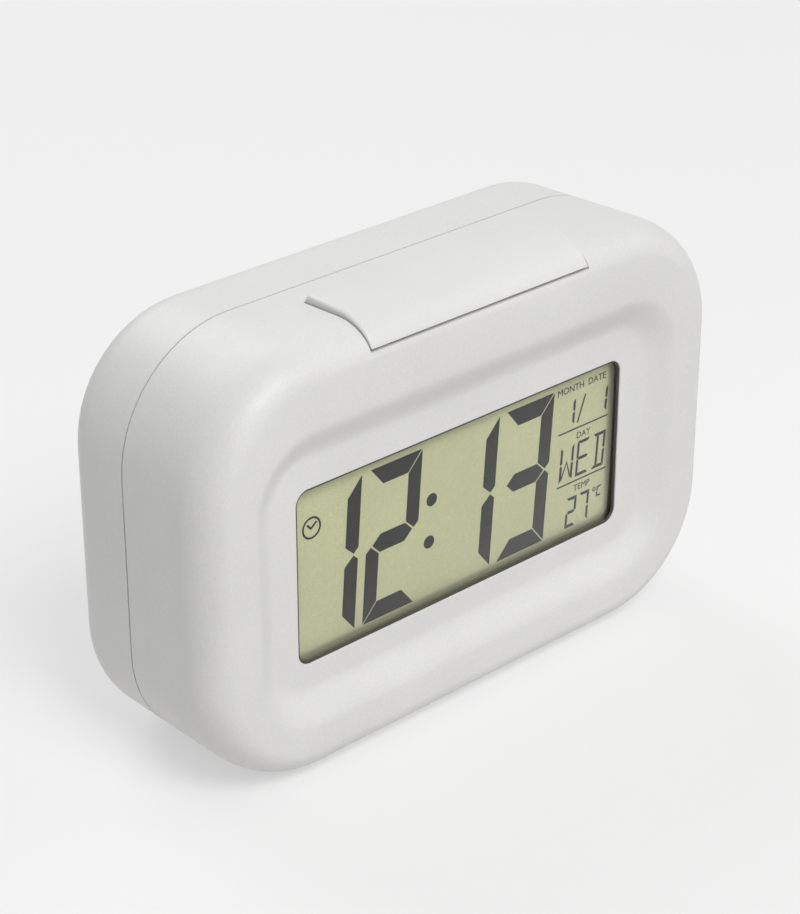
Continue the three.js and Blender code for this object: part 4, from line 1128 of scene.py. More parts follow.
rough = node(
    drawn_metal, "Math", {"operation": "MULTIPLY_ADD"}, _0=spread, _1=0.25, _2=given["Roughness"]
).outputs[0]
taken = node(drawn_metal, "NodeGroupOutput")
for socket_name, value in (("Color", toned), ("Roughness", rough), ("Lines", lines)):
    drawn_metal.links.new(value, taken.inputs[socket_name])


def metal(name, color, roughness, line_size=0.4):
    """A drawn or plated metal: its fine lines run across the clock, at a size in millimetres."""
    material = bpy.data.materials.new(name)
    material.use_nodes = True
    tree = material.node_tree
    shader = tree.nodes["Principled BSDF"]
    finish = node(
        tree,
        "Group",
        {"node_tree": drawn_metal},
        Metal=(*color, 1),
        Line_Scale=1 / (line_size * mm),
        Roughness=roughness,
    ).outputs
    scored = node(tree, "Bump", Strength=0.25, Distance=0.01 * mm, Height=finish["Lines"]).outputs[0]
    tree.links.new(finish["Color"], shader.inputs["Base Color"])
    tree.links.new(finish["Roughness"], shader.inputs["Roughness"])
    tree.links.new(scored, shader.inputs["Normal"])
    shader.inputs["Metallic"].default_value = 1.0
    return material


can_low, can_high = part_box("crystal")
can_length, can_radius = (can_high[0] - can_low[0]) / mm, (can_high[2] - can_low[2]) / 2 / mm
can_profile = [
    (0, 0.1),
    (can_radius - 0.5, 0.1),
    (can_radius - 0.4, 0),
    (can_radius - 0.08, 0.02),
    (can_radius, 0.12),
    (can_radius, 0.3),
    (can_radius - 0.12, 0.45),
    (can_radius - 0.12, can_length - 0.4),
    (can_radius - 0.24, can_length - 0.12),
    (can_radius - 0.5, can_length),
    (0, can_length),
]
can = turned("crystal_can", can_profile, 0, 0, 32)
laid_across(can, can_low[0] / mm, (can_low[1] - crest) / mm + can_radius, (can_low[2] + can_high[2]) / 2 / mm)
smooth(can)
can.data.materials.append(metal("tinned_steel", (0.55, 0.56, 0.58), 0.3))
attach(can, "housing")
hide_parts("crystal")

# The temperature sensor: a drop of epoxy on two tinned wires, which hold it away from the board so that it
# feels the air in the case and not the warmth of the board.
bead_low, bead_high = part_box("thermistor")
bead_x, bead_z = (bead_low[0] + bead_high[0]) / 2 / mm, (bead_low[2] + bead_high[2]) / 2 / mm
bead_root, bead_tip = (bead_low[1] - crest) / mm, (bead_high[1] - crest) / mm
bead_radius = (bead_high[0] - bead_low[0]) / 2 / mm
bead_profile = [(0, bead_tip - 3.4), (0.9, bead_tip - 3.3), (1.0, bead_tip - 3.0)]
for step in range(1, 10):
    angle = math.radians(-40 + 130 * step / 9)
    bead_profile.append(
        (max(bead_radius * math.cos(angle), 0), bead_tip - bead_radius + bead_radius * math.sin(angle))
    )
bead = turned("sensor_bead", bead_profile, bead_x, bead_z, 32)
combine(
    bead,
    "UNION",
    [rod("wire", 0.25, bead_x + side * 0.6, bead_z, bead_root, bead_tip - 2.5, 12) for side in (-1, 1)],
)
smooth(bead)
bead.data.materials.append(moulded("sensor_epoxy", (0.02, 0.045, 0.03), 0.3, 0.6, 0.02))
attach(bead, "housing")
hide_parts("thermistor")

# Two snooze switches: a tinned cover folded over a black body, with a plunger that stands up past the top
# edge of the board. The bar's legs press them, and the click springs inside push the bar back up.
tinned = bpy.data.materials["tinned_steel"]
black_nylon = moulded("black_nylon", (0.02, 0.02, 0.021), 0.45, 0.12, 0.006)
well_gap, well_depth = 0.3, 0.9
fold_width, fold_depth = 0.3, 0.35

for side in ("left", "right"):
    (x0, y0, z0), (x1, y1, z1) = around(f"snooze_switch_{side}")
    (px0, py0, pz0), (px1, py1, pz1) = around(f"snooze_plunger_{side}")
    body = block(f"snooze_click_{side}", (x0, y0, z0), (x1, y1, z1))
    rounded(body, 0.2, 3)
    combine(
        body,
        "DIFFERENCE",
        [
            block(
                "well",
                (px0 - well_gap, py0 - well_gap, pz0 - well_depth),
                (px1 + well_gap, py1 + well_gap, z1 + 1),
            ),
            block("fold", (x0 - 1, y1 - fold_depth, z0 + 0.8), (x0 + fold_width, y1 + 1, z1 - 1.4)),
            block("fold", (x1 - fold_width, y1 - fold_depth, z0 + 0.8), (x1 + 1, y1 + 1, z1 - 1.4)),
        ],
    )
    smooth(body)
    body.data.materials.append(tinned)
    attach(body, "housing")
    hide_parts(f"snooze_switch_{side}")
    plunger = block(f"snooze_stem_{side}", (px0, py0, pz0), (px1, py1, pz1))
    rounded(plunger, 0.3, 4)
    smooth(plunger)
    plunger.data.materials.append(black_nylon)
    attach(plunger, "snooze")
    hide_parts(f"snooze_plunger_{side}")

# The screws: zinc plated steel with a domed pan head, a cross recess and a coarse thread drawn as rings. They
# cut into plastic bosses: four hold the board, two the key board, and four long ones join the case halves.
zinc = metal("zinc_steel", (0.5, 0.51, 0.52), 0.3, 0.25)


def pan_screw(name, head_end):
    """A screw in the place of one of the frame's: head_end is 1 with the head at the back, else -1."""
    (x0, y0, z0), (x1, y1, z1) = around(name)
    head_radius = (x1 - x0) / 2
    tip, face = (y0, y1) if head_end > 0 else (y1, y0)
    head_rise, dome_rise, dome_inset, dome_steps = 1.6, 1.0, 0.9, 6
    under = face - head_end * head_rise
    core, crests, thread_pitch, thread_start, plain_length = 0.78, 1.08, 0.9, 1.0, 1.6
    profile = [(0, tip), (core * 0.5, tip + head_end * 0.15), (core, tip + head_end * 0.9)]
    turns = int((abs(under - tip) - plain_length) / thread_pitch)
    for turn in range(turns):
        root = tip + head_end * (thread_start + turn * thread_pitch)
        profile.append((core, root))
        profile.append((crests, root + head_end * 0.3))
        profile.append((crests, root + head_end * 0.38))
        profile.append((core, root + head_end * 0.68))
    profile += [(core, under), (head_radius - 0.08, under), (head_radius, under + head_end * 0.1)]
    for step in range(dome_steps + 1):
        angle = math.pi / 2 * step / dome_steps
        profile.append(
            (
                head_radius - dome_inset * (1 - math.cos(angle)),
                under + head_end * (head_rise - dome_rise + dome_rise * math.sin(angle)),
            )
        )
    profile.append((0, face))
    x, z = (x0 + x1) / 2, (z0 + z1) / 2
    made = turned(f"{name}_pan_head", profile, x, z, 40)
    recess_depth, recess_taper = 0.95, 0.45
    arm_length, arm_width = 1.25, 0.24
    floor_depth = face - head_end * recess_depth
    arms = []
    for long_x, long_z in ((arm_length, arm_width), (arm_width, arm_length)):
        arm = block("arm", (x - long_x, floor_depth, z - long_z), (x + long_x, face + head_end, z + long_z))
        for corner in arm.data.vertices:
            at_floor = abs((corner.co.y - crest) / mm - floor_depth) < 0.01
            if at_floor:
                corner.co.x = x * mm + (corner.co.x - x * mm) * recess_taper
                corner.co.z = z * mm + (corner.co.z - z * mm) * recess_taper
        arms.append(arm)
    combine(made, "DIFFERENCE", arms)
    smooth(made, 30)
    made.data.materials.append(zinc)
    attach(made, "housing")
    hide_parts(name)


for count in range(1, 5):
    pan_screw(f"board_screw_{count}", 1)
    pan_screw(f"case_screw_{count}", 1)
for side in ("left", "right"):
    pan_screw(f"key_board_screw_{side}", -1)

# The snooze bar: a hollow white cap across the top that follows the curve of the case and stands a little
# proud of it. It drops into its opening, and its two hooks catch under the collar of the case.
bar_proud, lip_proud = 1.3, 0.35
bar_top = case_height / mm + bar_proud
lip_angle = math.acos(1 - (case_height / mm - bar_lip) * mm / round_inset)
bar_hoops = []
for step in range(round_steps + 1):
    angle = lip_angle * (1 - step / round_steps)
    proud = bar_proud + (lip_proud - bar_proud) * angle / lip_angle
    slope = (-math.sin(angle) / (round_depth / mm), math.cos(angle) / (round_inset / mm))
    scale = proud / math.hypot(*slope)
    y = round_depth / mm * (1 - math.sin(angle)) + slope[0] * scale
    z = case_height / mm - round_inset / mm * (1 - math.cos(angle)) + slope[1] * scale
    bar_hoops.append((y, z))
back_soft, back_steps = 0.8, 6
for step in range(back_steps + 1):
    angle = math.pi / 2 * step / back_steps
    bar_hoops.append(
        (bar_back - back_soft * (1 - math.sin(angle)), bar_top - back_soft * (1 - math.cos(angle)))
    )
end_soft = 0.7
bar_root = 84.0
snooze_bar = skin(
    "snooze_cap", [(bar_half * mm, bar_root * mm, z * mm, end_soft * mm, y * mm) for y, z in bar_hoops]
)
bar_wall, bar_ceiling = 1.6, 88.9
skirt_low, leg_low = 82.0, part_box("snooze_bar")[0][2] / mm
inner_half = bar_half - bar_wall
skirt_front = shaft_front + 0.3
leg_front = (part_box("snooze_plunger_left")[0][1] - crest) / mm
leg_x, leg_half, leg_top = 18, 2.5, 89.5
hook_tip, hook_front, hook_back, hook_rise = 29.74, 7.63, 13.63, 1.2
combine(snooze_bar, "DIFFERENCE", [block("below_lip", (-30, -1, 80), (30, 20, bar_lip))])
combine(
    snooze_bar,
    "UNION",
    [block("skirt", (-bar_half, skirt_front, skirt_low), (bar_half, bar_back, bar_lip + 1.4))],
)
combine(
    snooze_bar,
    "DIFFERENCE",
    [
        block(
            "hollow",
            (-inner_half, skirt_front + bar_wall, skirt_low - 1),
            (inner_half, bar_back - bar_wall, bar_ceiling),
        )
    ],
)
for side in (-1, 1):
    hook = block(
        "hook",
        (side * (inner_half - 0.5), hook_front, skirt_low),
        (side * hook_tip, hook_back, skirt_low + hook_rise),
    )
    leg = block(
        "leg",
        (side * leg_x - leg_half, leg_front, leg_low),
        (side * leg_x + leg_half, leg_front + bar_wall, leg_top),
    )
    combine(snooze_bar, "UNION", [hook, leg])
smooth(snooze_bar)
button_white = moulded("cap_white", (0.71, 0.705, 0.695), 0.38, 0.4, 0.02, 0.1)
snooze_bar.data.materials.append(button_white)
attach(snooze_bar, "snooze")
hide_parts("snooze_bar")

# The rear half of the case: a white moulding that closes the front half along a fine parting line, with a
# spigot lip inside it. It holds the battery bay, the key holes, the sound holes and four deep screw wells.
seam_gap = 0.3 * mm
rear_front = parting + seam_gap
shoulder_start = case_depth - back_round


def rear_hoops(thickness, front):
    """The hoops from the parting line round the back shoulder to the flat back."""
    hoops = [outline(front, drawn_in(front) + thickness, thickness)]
    hoops.append(outline(shoulder_start, draft + thickness, thickness))
    for step in range(1, round_steps + 1):
        angle = math.pi / 2 * step / round_steps
        fall = (back_round - thickness) * (1 - math.cos(angle)) + thickness
        hoops.append(outline(shoulder_start + (back_round - thickness) * math.sin(angle), draft + fall, fall))
    return hoops


rear_outer = [outline(rear_front, drawn_in(rear_front), 0), *rear_hoops(0, rear_front + 3 * edge_break)]
rear_case = skin("rear_shell", rear_outer)
lip_inset = wall / 2 + 0.2 * mm
lip_start = parting - 1.5 * mm
lip = skin(
    "lip",
    [
        outline(lip_start, drawn_in(lip_start) + lip_inset, lip_inset),
        outline(rear_front + wall, drawn_in(rear_front) + lip_inset, lip_inset),
    ],
)
hollow = skin("rear_hollow", rear_hoops(wall, lip_start - 1 * mm))
combine(rear_case, "UNION", [lip])
combine(rear_case, "DIFFERENCE", [hollow])

depth_mm = case_depth / mm
back_inner = depth_mm - 2
bay_half, bay_bottom, bay_top, bay_wall = 25.85, 11.5, 44.8, 2.4
cell_radius, cell_depth, trough_radius = 5.25, 38.45, 5.55
cell_heights = (39.25, 28.15, 17.05)
screw_places = [(side * 60.5, height) for side in (-1, 1) for height in (25, 65)]
post_radius, post_back, screw_hole_radius, screw_well_radius = 3.8, 41.5, 1.5, 2.7
key_height, key_hole_radius, key_boss_x, key_boss_radius = 59, 3.8, 33, 2.6
key_places = {"mode": -24, "set": -8, "up": 8, "down": 24}
sound_x, sound_z, sound_reach = 44, 45, 4
combine(
    rear_case,
    "UNION",
    [
        block(
            "bay_walls",
            (-bay_half - bay_wall, 31.4, bay_bottom - bay_wall),
            (bay_half + bay_wall, back_inner + 1, bay_top + bay_wall),
        ),
        *[rod("post", post_radius, x, z, rear_front / mm, post_back) for x, z in screw_places],
        *[
            rod("key_boss", key_boss_radius, side * key_boss_x, key_height, 40.2, back_inner + 1)
            for side in (-1, 1)
        ],
        rod("sounder_ring", 11.5, sound_x, sound_z, 41.2, back_inner + 0.5, 64),
    ],
)
door_half, door_low, door_high, door_gap = 27.05, 10.3, 46.0, 0.3
opening = plate(
    "door_opening",
    door_half + door_gap,
    door_low - door_gap,
    door_high + door_gap,
    1.8,
    back_inner,
    depth_mm + 1,
)
cuts = [
    block("bay_room", (-bay_half, 34.75, bay_bottom), (bay_half, depth_mm + 1, bay_top)),
    opening,
    rod("sounder_seat", 10.3, sound_x, sound_z, 40, back_inner - 1.6, 64),
    rod("sounder_well", 9.0, sound_x, sound_z, 40, back_inner, 64),
]
for height in cell_heights:
    trough = rod("trough", trough_radius, 0, 0, 0, 2 * bay_half)
    laid_across(trough, -bay_half, cell_depth, height)
    cuts.append(trough)
for x, z in screw_places:
    cuts.append(rod("screw_hole", screw_hole_radius, x, z, 24, 40, 24))
    cuts.append(rod("screw_well", screw_well_radius, x, z, 30, depth_mm + 1))
for x in key_places.values():
    cuts.append(rod("key_hole", key_hole_radius, x, key_height, back_inner - 1, depth_mm + 1, 64))
for i in range(7):
    reach = sound_reach if i < 6 else 0
    angle = i * math.pi / 3
    x, z = sound_x + reach * math.cos(angle), sound_z + reach * math.sin(angle)
    cuts.append(rod("sound_hole", 0.9, x, z, 43, 47, 24))
pocket_x, pocket_half = 15, 3.3
for side in (-1, 1):
    pocket_left, pocket_right = side * pocket_x - pocket_half, side * pocket_x + pocket_half
    cuts.append(block("foot_pocket", (pocket_left, 42.5, 8.6), (pocket_right, back_inner, 11.6)))
    tab_height = cell_heights[0] if side < 0 else cell_heights[2]
    cuts.append(
        block("tab_slot", (side * 25.05, 30.4, tab_height - 1.8), (side * bay_half, 35.3, tab_height + 1.8))
    )
combine(rear_case, "DIFFERENCE", cuts)


def soften(thing, chosen, width, segments=3):
    """Rounds the edges whose two ends both pass a test of their place, in millimetres."""
    bpy.ops.object.select_all(action="DESELECT")
    thing.select_set(True)
    bpy.context.view_layer.objects.active = thing
    mesh = thing.data
    pick(mesh, 0, 0)
    marked = [
        chosen(corner.co.x / mm, (corner.co.y - crest) / mm, corner.co.z / mm) for corner in mesh.vertices
    ]
    for edge in mesh.edges:
        edge.select = all(marked[i] for i in edge.vertices)
    bpy.ops.object.mode_set(mode="EDIT")
    bpy.ops.mesh.select_mode(type="EDGE")
    bpy.ops.mesh.bevel(offset=width * mm, segments=segments, affect="EDGES", clamp_overlap=True)
    bpy.ops.mesh.select_mode(type="VERT")
    bpy.ops.object.mode_set(mode="OBJECT")


def on_back_edge(x, y, z):
    """True on the rims of the key holes and of the door opening in the flat back."""
    if abs(y - depth_mm) > 0.01:
        return False
    for key_x in key_places.values():
        if abs(math.hypot(x - key_x, z - key_height) - key_hole_radius) < 0.02:
            return True
    reach = door_gap + 0.02
    return abs(x) < door_half + reach and door_low - reach < z < door_high + reach


soften(rear_case, on_back_edge, 0.2)
smooth(rear_case)
rear_case.data.materials.append(case_white)
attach(rear_case, "housing")
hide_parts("rear_case")

# Four push keys in the back, for the mode, the setting, up and down: white caps with a soft dished face,
# each with a flange that holds it behind the wall. They are turned here, and moulded on the real clock.
key_radius, key_tip = 3.5, depth_mm + 1.2
flange_radius, flange_front, flange_back = 4.7, 42.5, 43.7
key_profile = [
    (0.0, flange_front),
    (flange_radius, flange_front),
    (flange_radius, flange_back),
    (key_radius, flange_back),
    (key_radius, key_tip - 0.55),
    (key_radius - 0.04, key_tip - 0.35),
    (key_radius - 0.16, key_tip - 0.16),
    (key_radius - 0.35, key_tip - 0.04),
    (key_radius - 0.55, key_tip),
    (key_radius - 0.8, key_tip - 0.02),
    (1.8, key_tip - 0.2),
    (0.9, key_tip - 0.3),
    (0.0, key_tip - 0.33),
]

for name, x in key_places.items():
    key = turned(f"{name}_cap", key_profile, x, key_height)
    smooth(key)
    key.data.materials.append(button_white)
    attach(key, f"{name}_key")
    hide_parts(f"{name}_button")

# The key board: a narrow board screwed to two bosses inside the back. A click switch behind each key has a
# round plunger that the key's flange rests on.
dress(board_mask("key_board_mask", (0.035, 0.14, 0.055), 1.2), "key_board")
cover_inset, dint_reach, key_stem_radius = 0.2, 2.3, 1.7
for name, x in key_places.items():
    (x0, y0, z0), (x1, y1, z1) = around(f"key_switch_{name}")
    body = block(f"key_click_{name}", (x0, y0, z0), (x1, y1 - 0.3, z1))
    rounded(body, 0.15)
    cover = block(
        "cover",
        (x0 + cover_inset, y1 - 0.6, z0 + cover_inset),
        (x1 - cover_inset, y1, z1 - cover_inset),
    )
    rounded(cover, 0.1)
    combine(body, "UNION", [cover])
    combine(
        body,
        "DIFFERENCE",
        [rod("well", 2.0, x, key_height, y1 - 2.0, y1 + 1)]
        + [
            rod("rivet_dint", 0.4, x + across, key_height + up, y1 - 0.12, y1 + 1, 16)
            for across in (-dint_reach, dint_reach)
            for up in (-dint_reach, dint_reach)
        ],
    )
    smooth(body)
    body.data.materials.append(tinned)
    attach(body, "housing")
    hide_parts(f"key_switch_{name}")
    (_, root, _), (_, tip, _) = around(f"key_plunger_{name}")
    stem_profile = [
        (0, root),
        (key_stem_radius, root),
        (key_stem_radius, tip - 0.3),
        (key_stem_radius - 0.1, tip - 0.08),
        (key_stem_radius - 0.3, tip),
        (0, tip),
    ]
    stem = turned(f"key_stem_{name}", stem_profile, x, key_height, 32)
    smooth(stem)
    stem.data.materials.append(black_nylon)
    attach(stem, f"{name}_key")
    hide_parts(f"key_plunger_{name}")

# The sounder: a thin brass disc with a smaller white ceramic disc on its face, silvered over, held round its
# rim on a ring behind the sound holes.
disc_low, disc_high = around("buzzer_disc")
disc_radius = (disc_high[0] - disc_low[0]) / 2
front_face, back_face = disc_low[1], disc_high[1]
sheet = (back_face - front_face) / 2
ceramic_radius = disc_radius * 0.65
silver_radius, silver_rise = ceramic_radius - 0.85, 0.05
disc_profile = [
    (0, front_face),
    (silver_radius - 0.05, front_face),
    (silver_radius + 0.03, front_face + silver_rise),
    (ceramic_radius - 0.1, front_face + silver_rise),
    (ceramic_radius, front_face + 0.12),
    (ceramic_radius, front_face + sheet),
    (disc_radius - 0.08, front_face + sheet),
    (disc_radius, front_face + sheet + 0.06),
    (disc_radius, back_face - 0.06),
    (disc_radius - 0.08, back_face),
    (0, back_face),
]
sounder = turned("sounder_brass_disc", disc_profile, sound_x, sound_z, 72)
smooth(sounder)
sounder.data.materials.append(metal("brass_sheet", (0.6, 0.43, 0.15), 0.3, 0.5))
ceramic = moulded("fired_ceramic", (0.72, 0.7, 0.64), 0.5, 0.08, 0.006)
silver_face = metal("silvered_face", (0.66, 0.66, 0.64), 0.42, 0.3)
sounder.data.materials.append(ceramic)
sounder.data.materials.append(silver_face)
for polygon in sounder.data.polygons:
    middle_of_face = polygon.center
    reach = math.hypot(middle_of_face.x / mm - sound_x, middle_of_face.z / mm - sound_z)
    depth = (middle_of_face.y - crest) / mm
    if depth < front_face + sheet - 0.01 and reach <= ceramic_radius + 0.01:
        polygon.material_index = 2 if reach < silver_radius else 1
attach(sounder, "housing")
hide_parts("buzzer_disc")

# The battery contacts: nickel plated spring sheet with a pressed button for each plus end, and a conical
# spring of nickel plated wire for each minus end. They slide into the end walls of the bay.
contact_nickel = metal("nickel_plate", (0.62, 0.61, 0.58), 0.26, 0.3)
bay_front = 32.9
sheet_thickness, sheet_half, sheet_gap = 0.4, 3.9, 0.3
tab_reach, tab_half = 4, 1.5
wire_radius, spring_seat, spring_length = 0.35, 0.5, 5.4
spring_foot_radius, spring_tip_radius = 4, 1.9
spring_turns, turn_steps = 4, 28


def wound_wire(name, points, radius, sides=12):
    """A round wire along a row of points in millimetres, with closed ends."""
    bpy.ops.curve.primitive_bezier_curve_add()
    wire = bpy.context.object
    wire.name = name
    wire.data.splines.clear()
    line = wire.data.splines.new("POLY")
    line.points.add(len(points) - 1)
    for spot, (x, depth, z) in zip(line.points, points):
        spot.co = (x * mm, crest + depth * mm, z * mm, 1)
    wire.data.dimensions = "3D"
    wire.data.bevel_depth = radius * mm
    wire.data.bevel_resolution = sides // 2 - 2
    wire.data.use_fill_caps = True
    bpy.ops.object.select_all(action="DESELECT")
    wire.location = (0, 0, 0)
    wire.select_set(True)
    bpy.context.view_layer.objects.active = wire
    bpy.ops.object.convert(target="MESH")
    made = bpy.context.object
    bpy.ops.object.mode_set(mode="EDIT")
    bpy.ops.mesh.select_all(action="SELECT")
    bpy.ops.mesh.remove_doubles(threshold=0.001 * mm)
    bpy.ops.mesh.normals_make_consistent(inside=False)
    bpy.ops.object.mode_set(mode="OBJECT")
    return made


def contact(name, node_name, side, highest, lowest, button=None, spring=None, tab=None):
    """A contact on the left or right end wall: a sheet with its button, its spring and its solder tab."""
    outer = side * (bay_half - 0.1)
    inner = outer - side * sheet_thickness
    made = block(
        name,
        (outer, bay_front + 1.75 + sheet_gap, lowest - sheet_half),
        (inner, back_inner - sheet_gap, highest + sheet_half),
    )
    rounded(made, 0.12)
    additions = []
    if tab is not None:
        tab_front = bay_front - tab_reach
        tongue = block("tab", (outer, tab_front, tab - tab_half), (inner, cell_depth, tab + tab_half))
        rounded(tongue, 0.12)
        additions.append(tongue)
    if button is not None:
        button_profile = [
            (0, -0.2),
            (2.4, -0.2),
            (2.2, 0.22),
            (2.05, 0.34),
            (1.8, 0.4),
            (1.0, 0.4),
            (0, 0.4),
        ]
        pressed = turned("button", button_profile, 0, 0, 40)
        if side > 0:
            pressed.rotation_euler = (0, 0, math.pi)
            bpy.ops.object.select_all(action="DESELECT")
            pressed.select_set(True)
            bpy.context.view_layer.objects.active = pressed
            bpy.ops.object.transform_apply(location=True, rotation=True, scale=True)
            for corner in pressed.data.vertices:
                corner.co.y += 2 * crest
        laid_across(pressed, inner, cell_depth, button)
        additions.append(pressed)
    if spring is not None:
        near = bay_half - spring_seat - wire_radius * 0.6
        far = bay_half - spring_seat - spring_length + wire_radius
        points = []
        for step in range(spring_turns * turn_steps + 1):
            share = step / (spring_turns * turn_steps)
            angle = share * spring_turns * 2 * math.pi
            radius = spring_foot_radius + (spring_tip_radius - spring_foot_radius) * share
            points.append(
                (
                    side * (near + (far - near) * share),
                    cell_depth + radius * math.cos(angle),
                    spring + radius * math.sin(angle),
                )
            )
        additions.append(wound_wire("spring", points, wire_radius))
    combine(made, "UNION", additions)
    smooth(made, 40)
    made.data.materials.append(contact_nickel)
    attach(made, "housing")
    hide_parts(node_name)


top_cell, middle_cell, bottom_cell = cell_heights
contact("plus_end_sheet", "contact_positive", -1, top_cell, top_cell, button=top_cell, tab=top_cell)
contact(
    "minus_end_spring", "contact_negative", 1, bottom_cell, bottom_cell, spring=bottom_cell, tab=bottom_cell
)
contact(
    "right_link_sheet", "contact_link_right", 1, top_cell, middle_cell, button=middle_cell, spring=top_cell
)
contact(
    "left_link_sheet",
    "contact_link_left",
    -1,
    middle_cell,
    bottom_cell,
    button=bottom_cell,
    spring=middle_cell,
)

# Three cells of the small round size: a steel can in a printed jacket without a name, shrunk over both
# shoulders, with a raised steel cap in a dark sealing ring at the plus end.
jacket = moulded("cell_wrapper", (0.05, 0.1, 0.18), 0.3, 0.5, 0.006, 0.06, 0.06)
tree = jacket.node_tree
shader = tree.nodes["Principled BSDF"]
along = node(tree, "Attribute", {"attribute_name": "from_plus_end"}).outputs["Fac"]
band_end, rule_start, rule_end = 0.24, 0.255, 0.275
band = node(tree, "Math", {"operation": "LESS_THAN"}, _0=along, _1=band_end).outputs[0]
past_start = node(tree, "Math", {"operation": "GREATER_THAN"}, _0=along, _1=rule_start).outputs[0]
before_end = node(tree, "Math", {"operation": "LESS_THAN"}, _0=along, _1=rule_end).outputs[0]
rule = node(tree, "Math", {"operation": "MULTIPLY"}, _0=past_start, _1=before_end).outputs[0]
printed = node(tree, "Math", {"operation": "ADD"}, _0=band, _1=rule).outputs[0]
jacket_blue, jacket_grey = (0.05, 0.1, 0.18, 1), (0.42, 0.44, 0.46, 1)
wrapper_tone = node(
    tree, "Mix", {"data_type": "RGBA"}, _0=printed, _6=jacket_blue, _7=jacket_grey
).outputs[2]
place = node(tree, "TexCoord").outputs["Object"]
scuffs = node(tree, "TexNoise", Vector=place, Scale=700.0, Detail=4.0).outputs["Fac"]
worn = node(tree, "MapRange", Value=scuffs, From_Min=0.35, From_Max=0.65, To_Min=0.94, To_Max=1.05).outputs[0]
wrapper_color = node(tree, "VectorMath", {"operation": "SCALE"}, _0=wrapper_tone, Scale=worn).outputs[0]
tree.links.new(wrapper_color, shader.inputs["Base Color"])
shader.inputs["Coat Weight"].default_value = 0.4
shader.inputs["Coat Roughness"].default_value = 0.15
cell_steel = metal("cell_steel", (0.56, 0.56, 0.55), 0.25, 0.3)
sealing_ring = moulded("sealing_ring", (0.03, 0.03, 0.032), 0.5, 0.1, 0.006)

cell_length, cap_length, cap_reach = 44.5, 1.0, 2.45
cell_shoulder = cell_length - cap_length
cell_profile = [
    (0, 0.25),
    (2.9, 0.25),
    (3.1, 0.05),
    (3.4, 0),
    (cell_radius - 0.55, 0),
    (cell_radius - 0.2, 0.1),
    (cell_radius - 0.05, 0.32),
    (cell_radius, 0.6),
    (cell_radius, cell_shoulder - 0.8),
    (cell_radius - 0.06, cell_shoulder - 0.4),
    (cell_radius - 0.25, cell_shoulder - 0.12),
    (cell_radius - 0.6, cell_shoulder),
    (cell_radius - 0.95, cell_shoulder - 0.02),
    (cell_radius - 1.05, cell_shoulder - 0.3),
    (2.5, cell_shoulder - 0.3),
    (2.4, cell_shoulder - 0.1),
    (2.1, cell_shoulder),
    (1.95, cell_shoulder + 0.2),
    (1.9, cell_length - 0.3),
    (1.8, cell_length - 0.08),
    (1.6, cell_length),
    (0, cell_length),
]
for count, (height, plus_side) in enumerate(zip(cell_heights, (-1, 1, -1)), 1):
    cell = turned(f"cell_{count}", cell_profile, 0, 0, 96)
    mesh = cell.data
    share = mesh.attributes.new("from_plus_end", "FLOAT", "POINT")
    for i, corner in enumerate(mesh.vertices):
        share.data[i].value = 1 - ((corner.co.y - crest) / mm) / cell_length
    for material in (jacket, cell_steel, sealing_ring):
        mesh.materials.append(material)
    for polygon in mesh.polygons:
        along_cell = (polygon.center.y - crest) / mm
        reach = math.hypot(polygon.center.x, polygon.center.z) / mm
        past_shoulder = along_cell > cell_shoulder - 0.35
        at_minus = along_cell < 0.26 and reach < cell_radius - 0.9
        at_cap = past_shoulder and reach < cap_reach
        at_ring = past_shoulder and cap_reach <= reach < cell_radius - 0.98
        polygon.material_index = 1 if at_minus or at_cap else 2 if at_ring else 0
    if plus_side < 0:
        for corner in mesh.vertices:
            corner.co.y = 2 * crest + cell_length * mm - corner.co.y
        bpy.ops.object.select_all(action="DESELECT")
        cell.select_set(True)
        bpy.context.view_layer.objects.active = cell
        bpy.ops.object.mode_set(mode="EDIT")
        bpy.ops.mesh.select_all(action="SELECT")
        bpy.ops.mesh.flip_normals()
        bpy.ops.object.mode_set(mode="OBJECT")
    laid_across(cell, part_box(f"battery_{count}")[0][0] / mm, cell_depth, height)
    smooth(cell)
    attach(cell, "housing")
    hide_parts(f"battery_{count}")

# The leads: thin stranded wire in red and black insulation, soldered to the contact tabs and to the sounder
# at one end and to the back of the main board at the other. All are fixed inside the case.
lead_radius = 0.6
lead_red = moulded("red_insulation", (0.45, 0.02, 0.01), 0.4, 0.3, 0.006, 0.2)
lead_black = moulded("black_insulation", (0.012, 0.012, 0.014), 0.4, 0.3, 0.006, 0.2)
board_left, board_right = around("main_board")
pad_depth = board_right[1] + 0.3 + lead_radius / 2
board_edge, board_base = board_right[0], board_left[2]


def smooth_route(points, steps=10):
    """Points along a smooth line through the given ones, which are in millimetres."""
    lead_in = [2 * a - b for a, b in zip(points[0], points[1])]
    lead_out = [2 * a - b for a, b in zip(points[-1], points[-2])]
    full = [lead_in, *points, lead_out]
    route = []
    for before, start, end, after in zip(full, full[1:], full[2:], full[3:]):
        for step in range(steps):
            t = step / steps
            route.append(
                tuple(
                    0.5
                    * (
                        2 * b
                        + (c - a) * t
                        + (2 * a - 5 * b + 4 * c - d) * t**2
                        + (3 * b - a - 3 * c + d) * t**3
                    )
                    for a, b, c, d in zip(before, start, end, after)
                )
            )
    return [*route, tuple(points[-1])]


def lead(name, node_name, material, points):
    """A lead in the place of one of the frame's."""
    wire = wound_wire(name, smooth_route(points), lead_radius, 16)
    smooth(wire, 50)
    wire.data.materials.append(material)
    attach(wire, "housing")
    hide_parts(node_name)


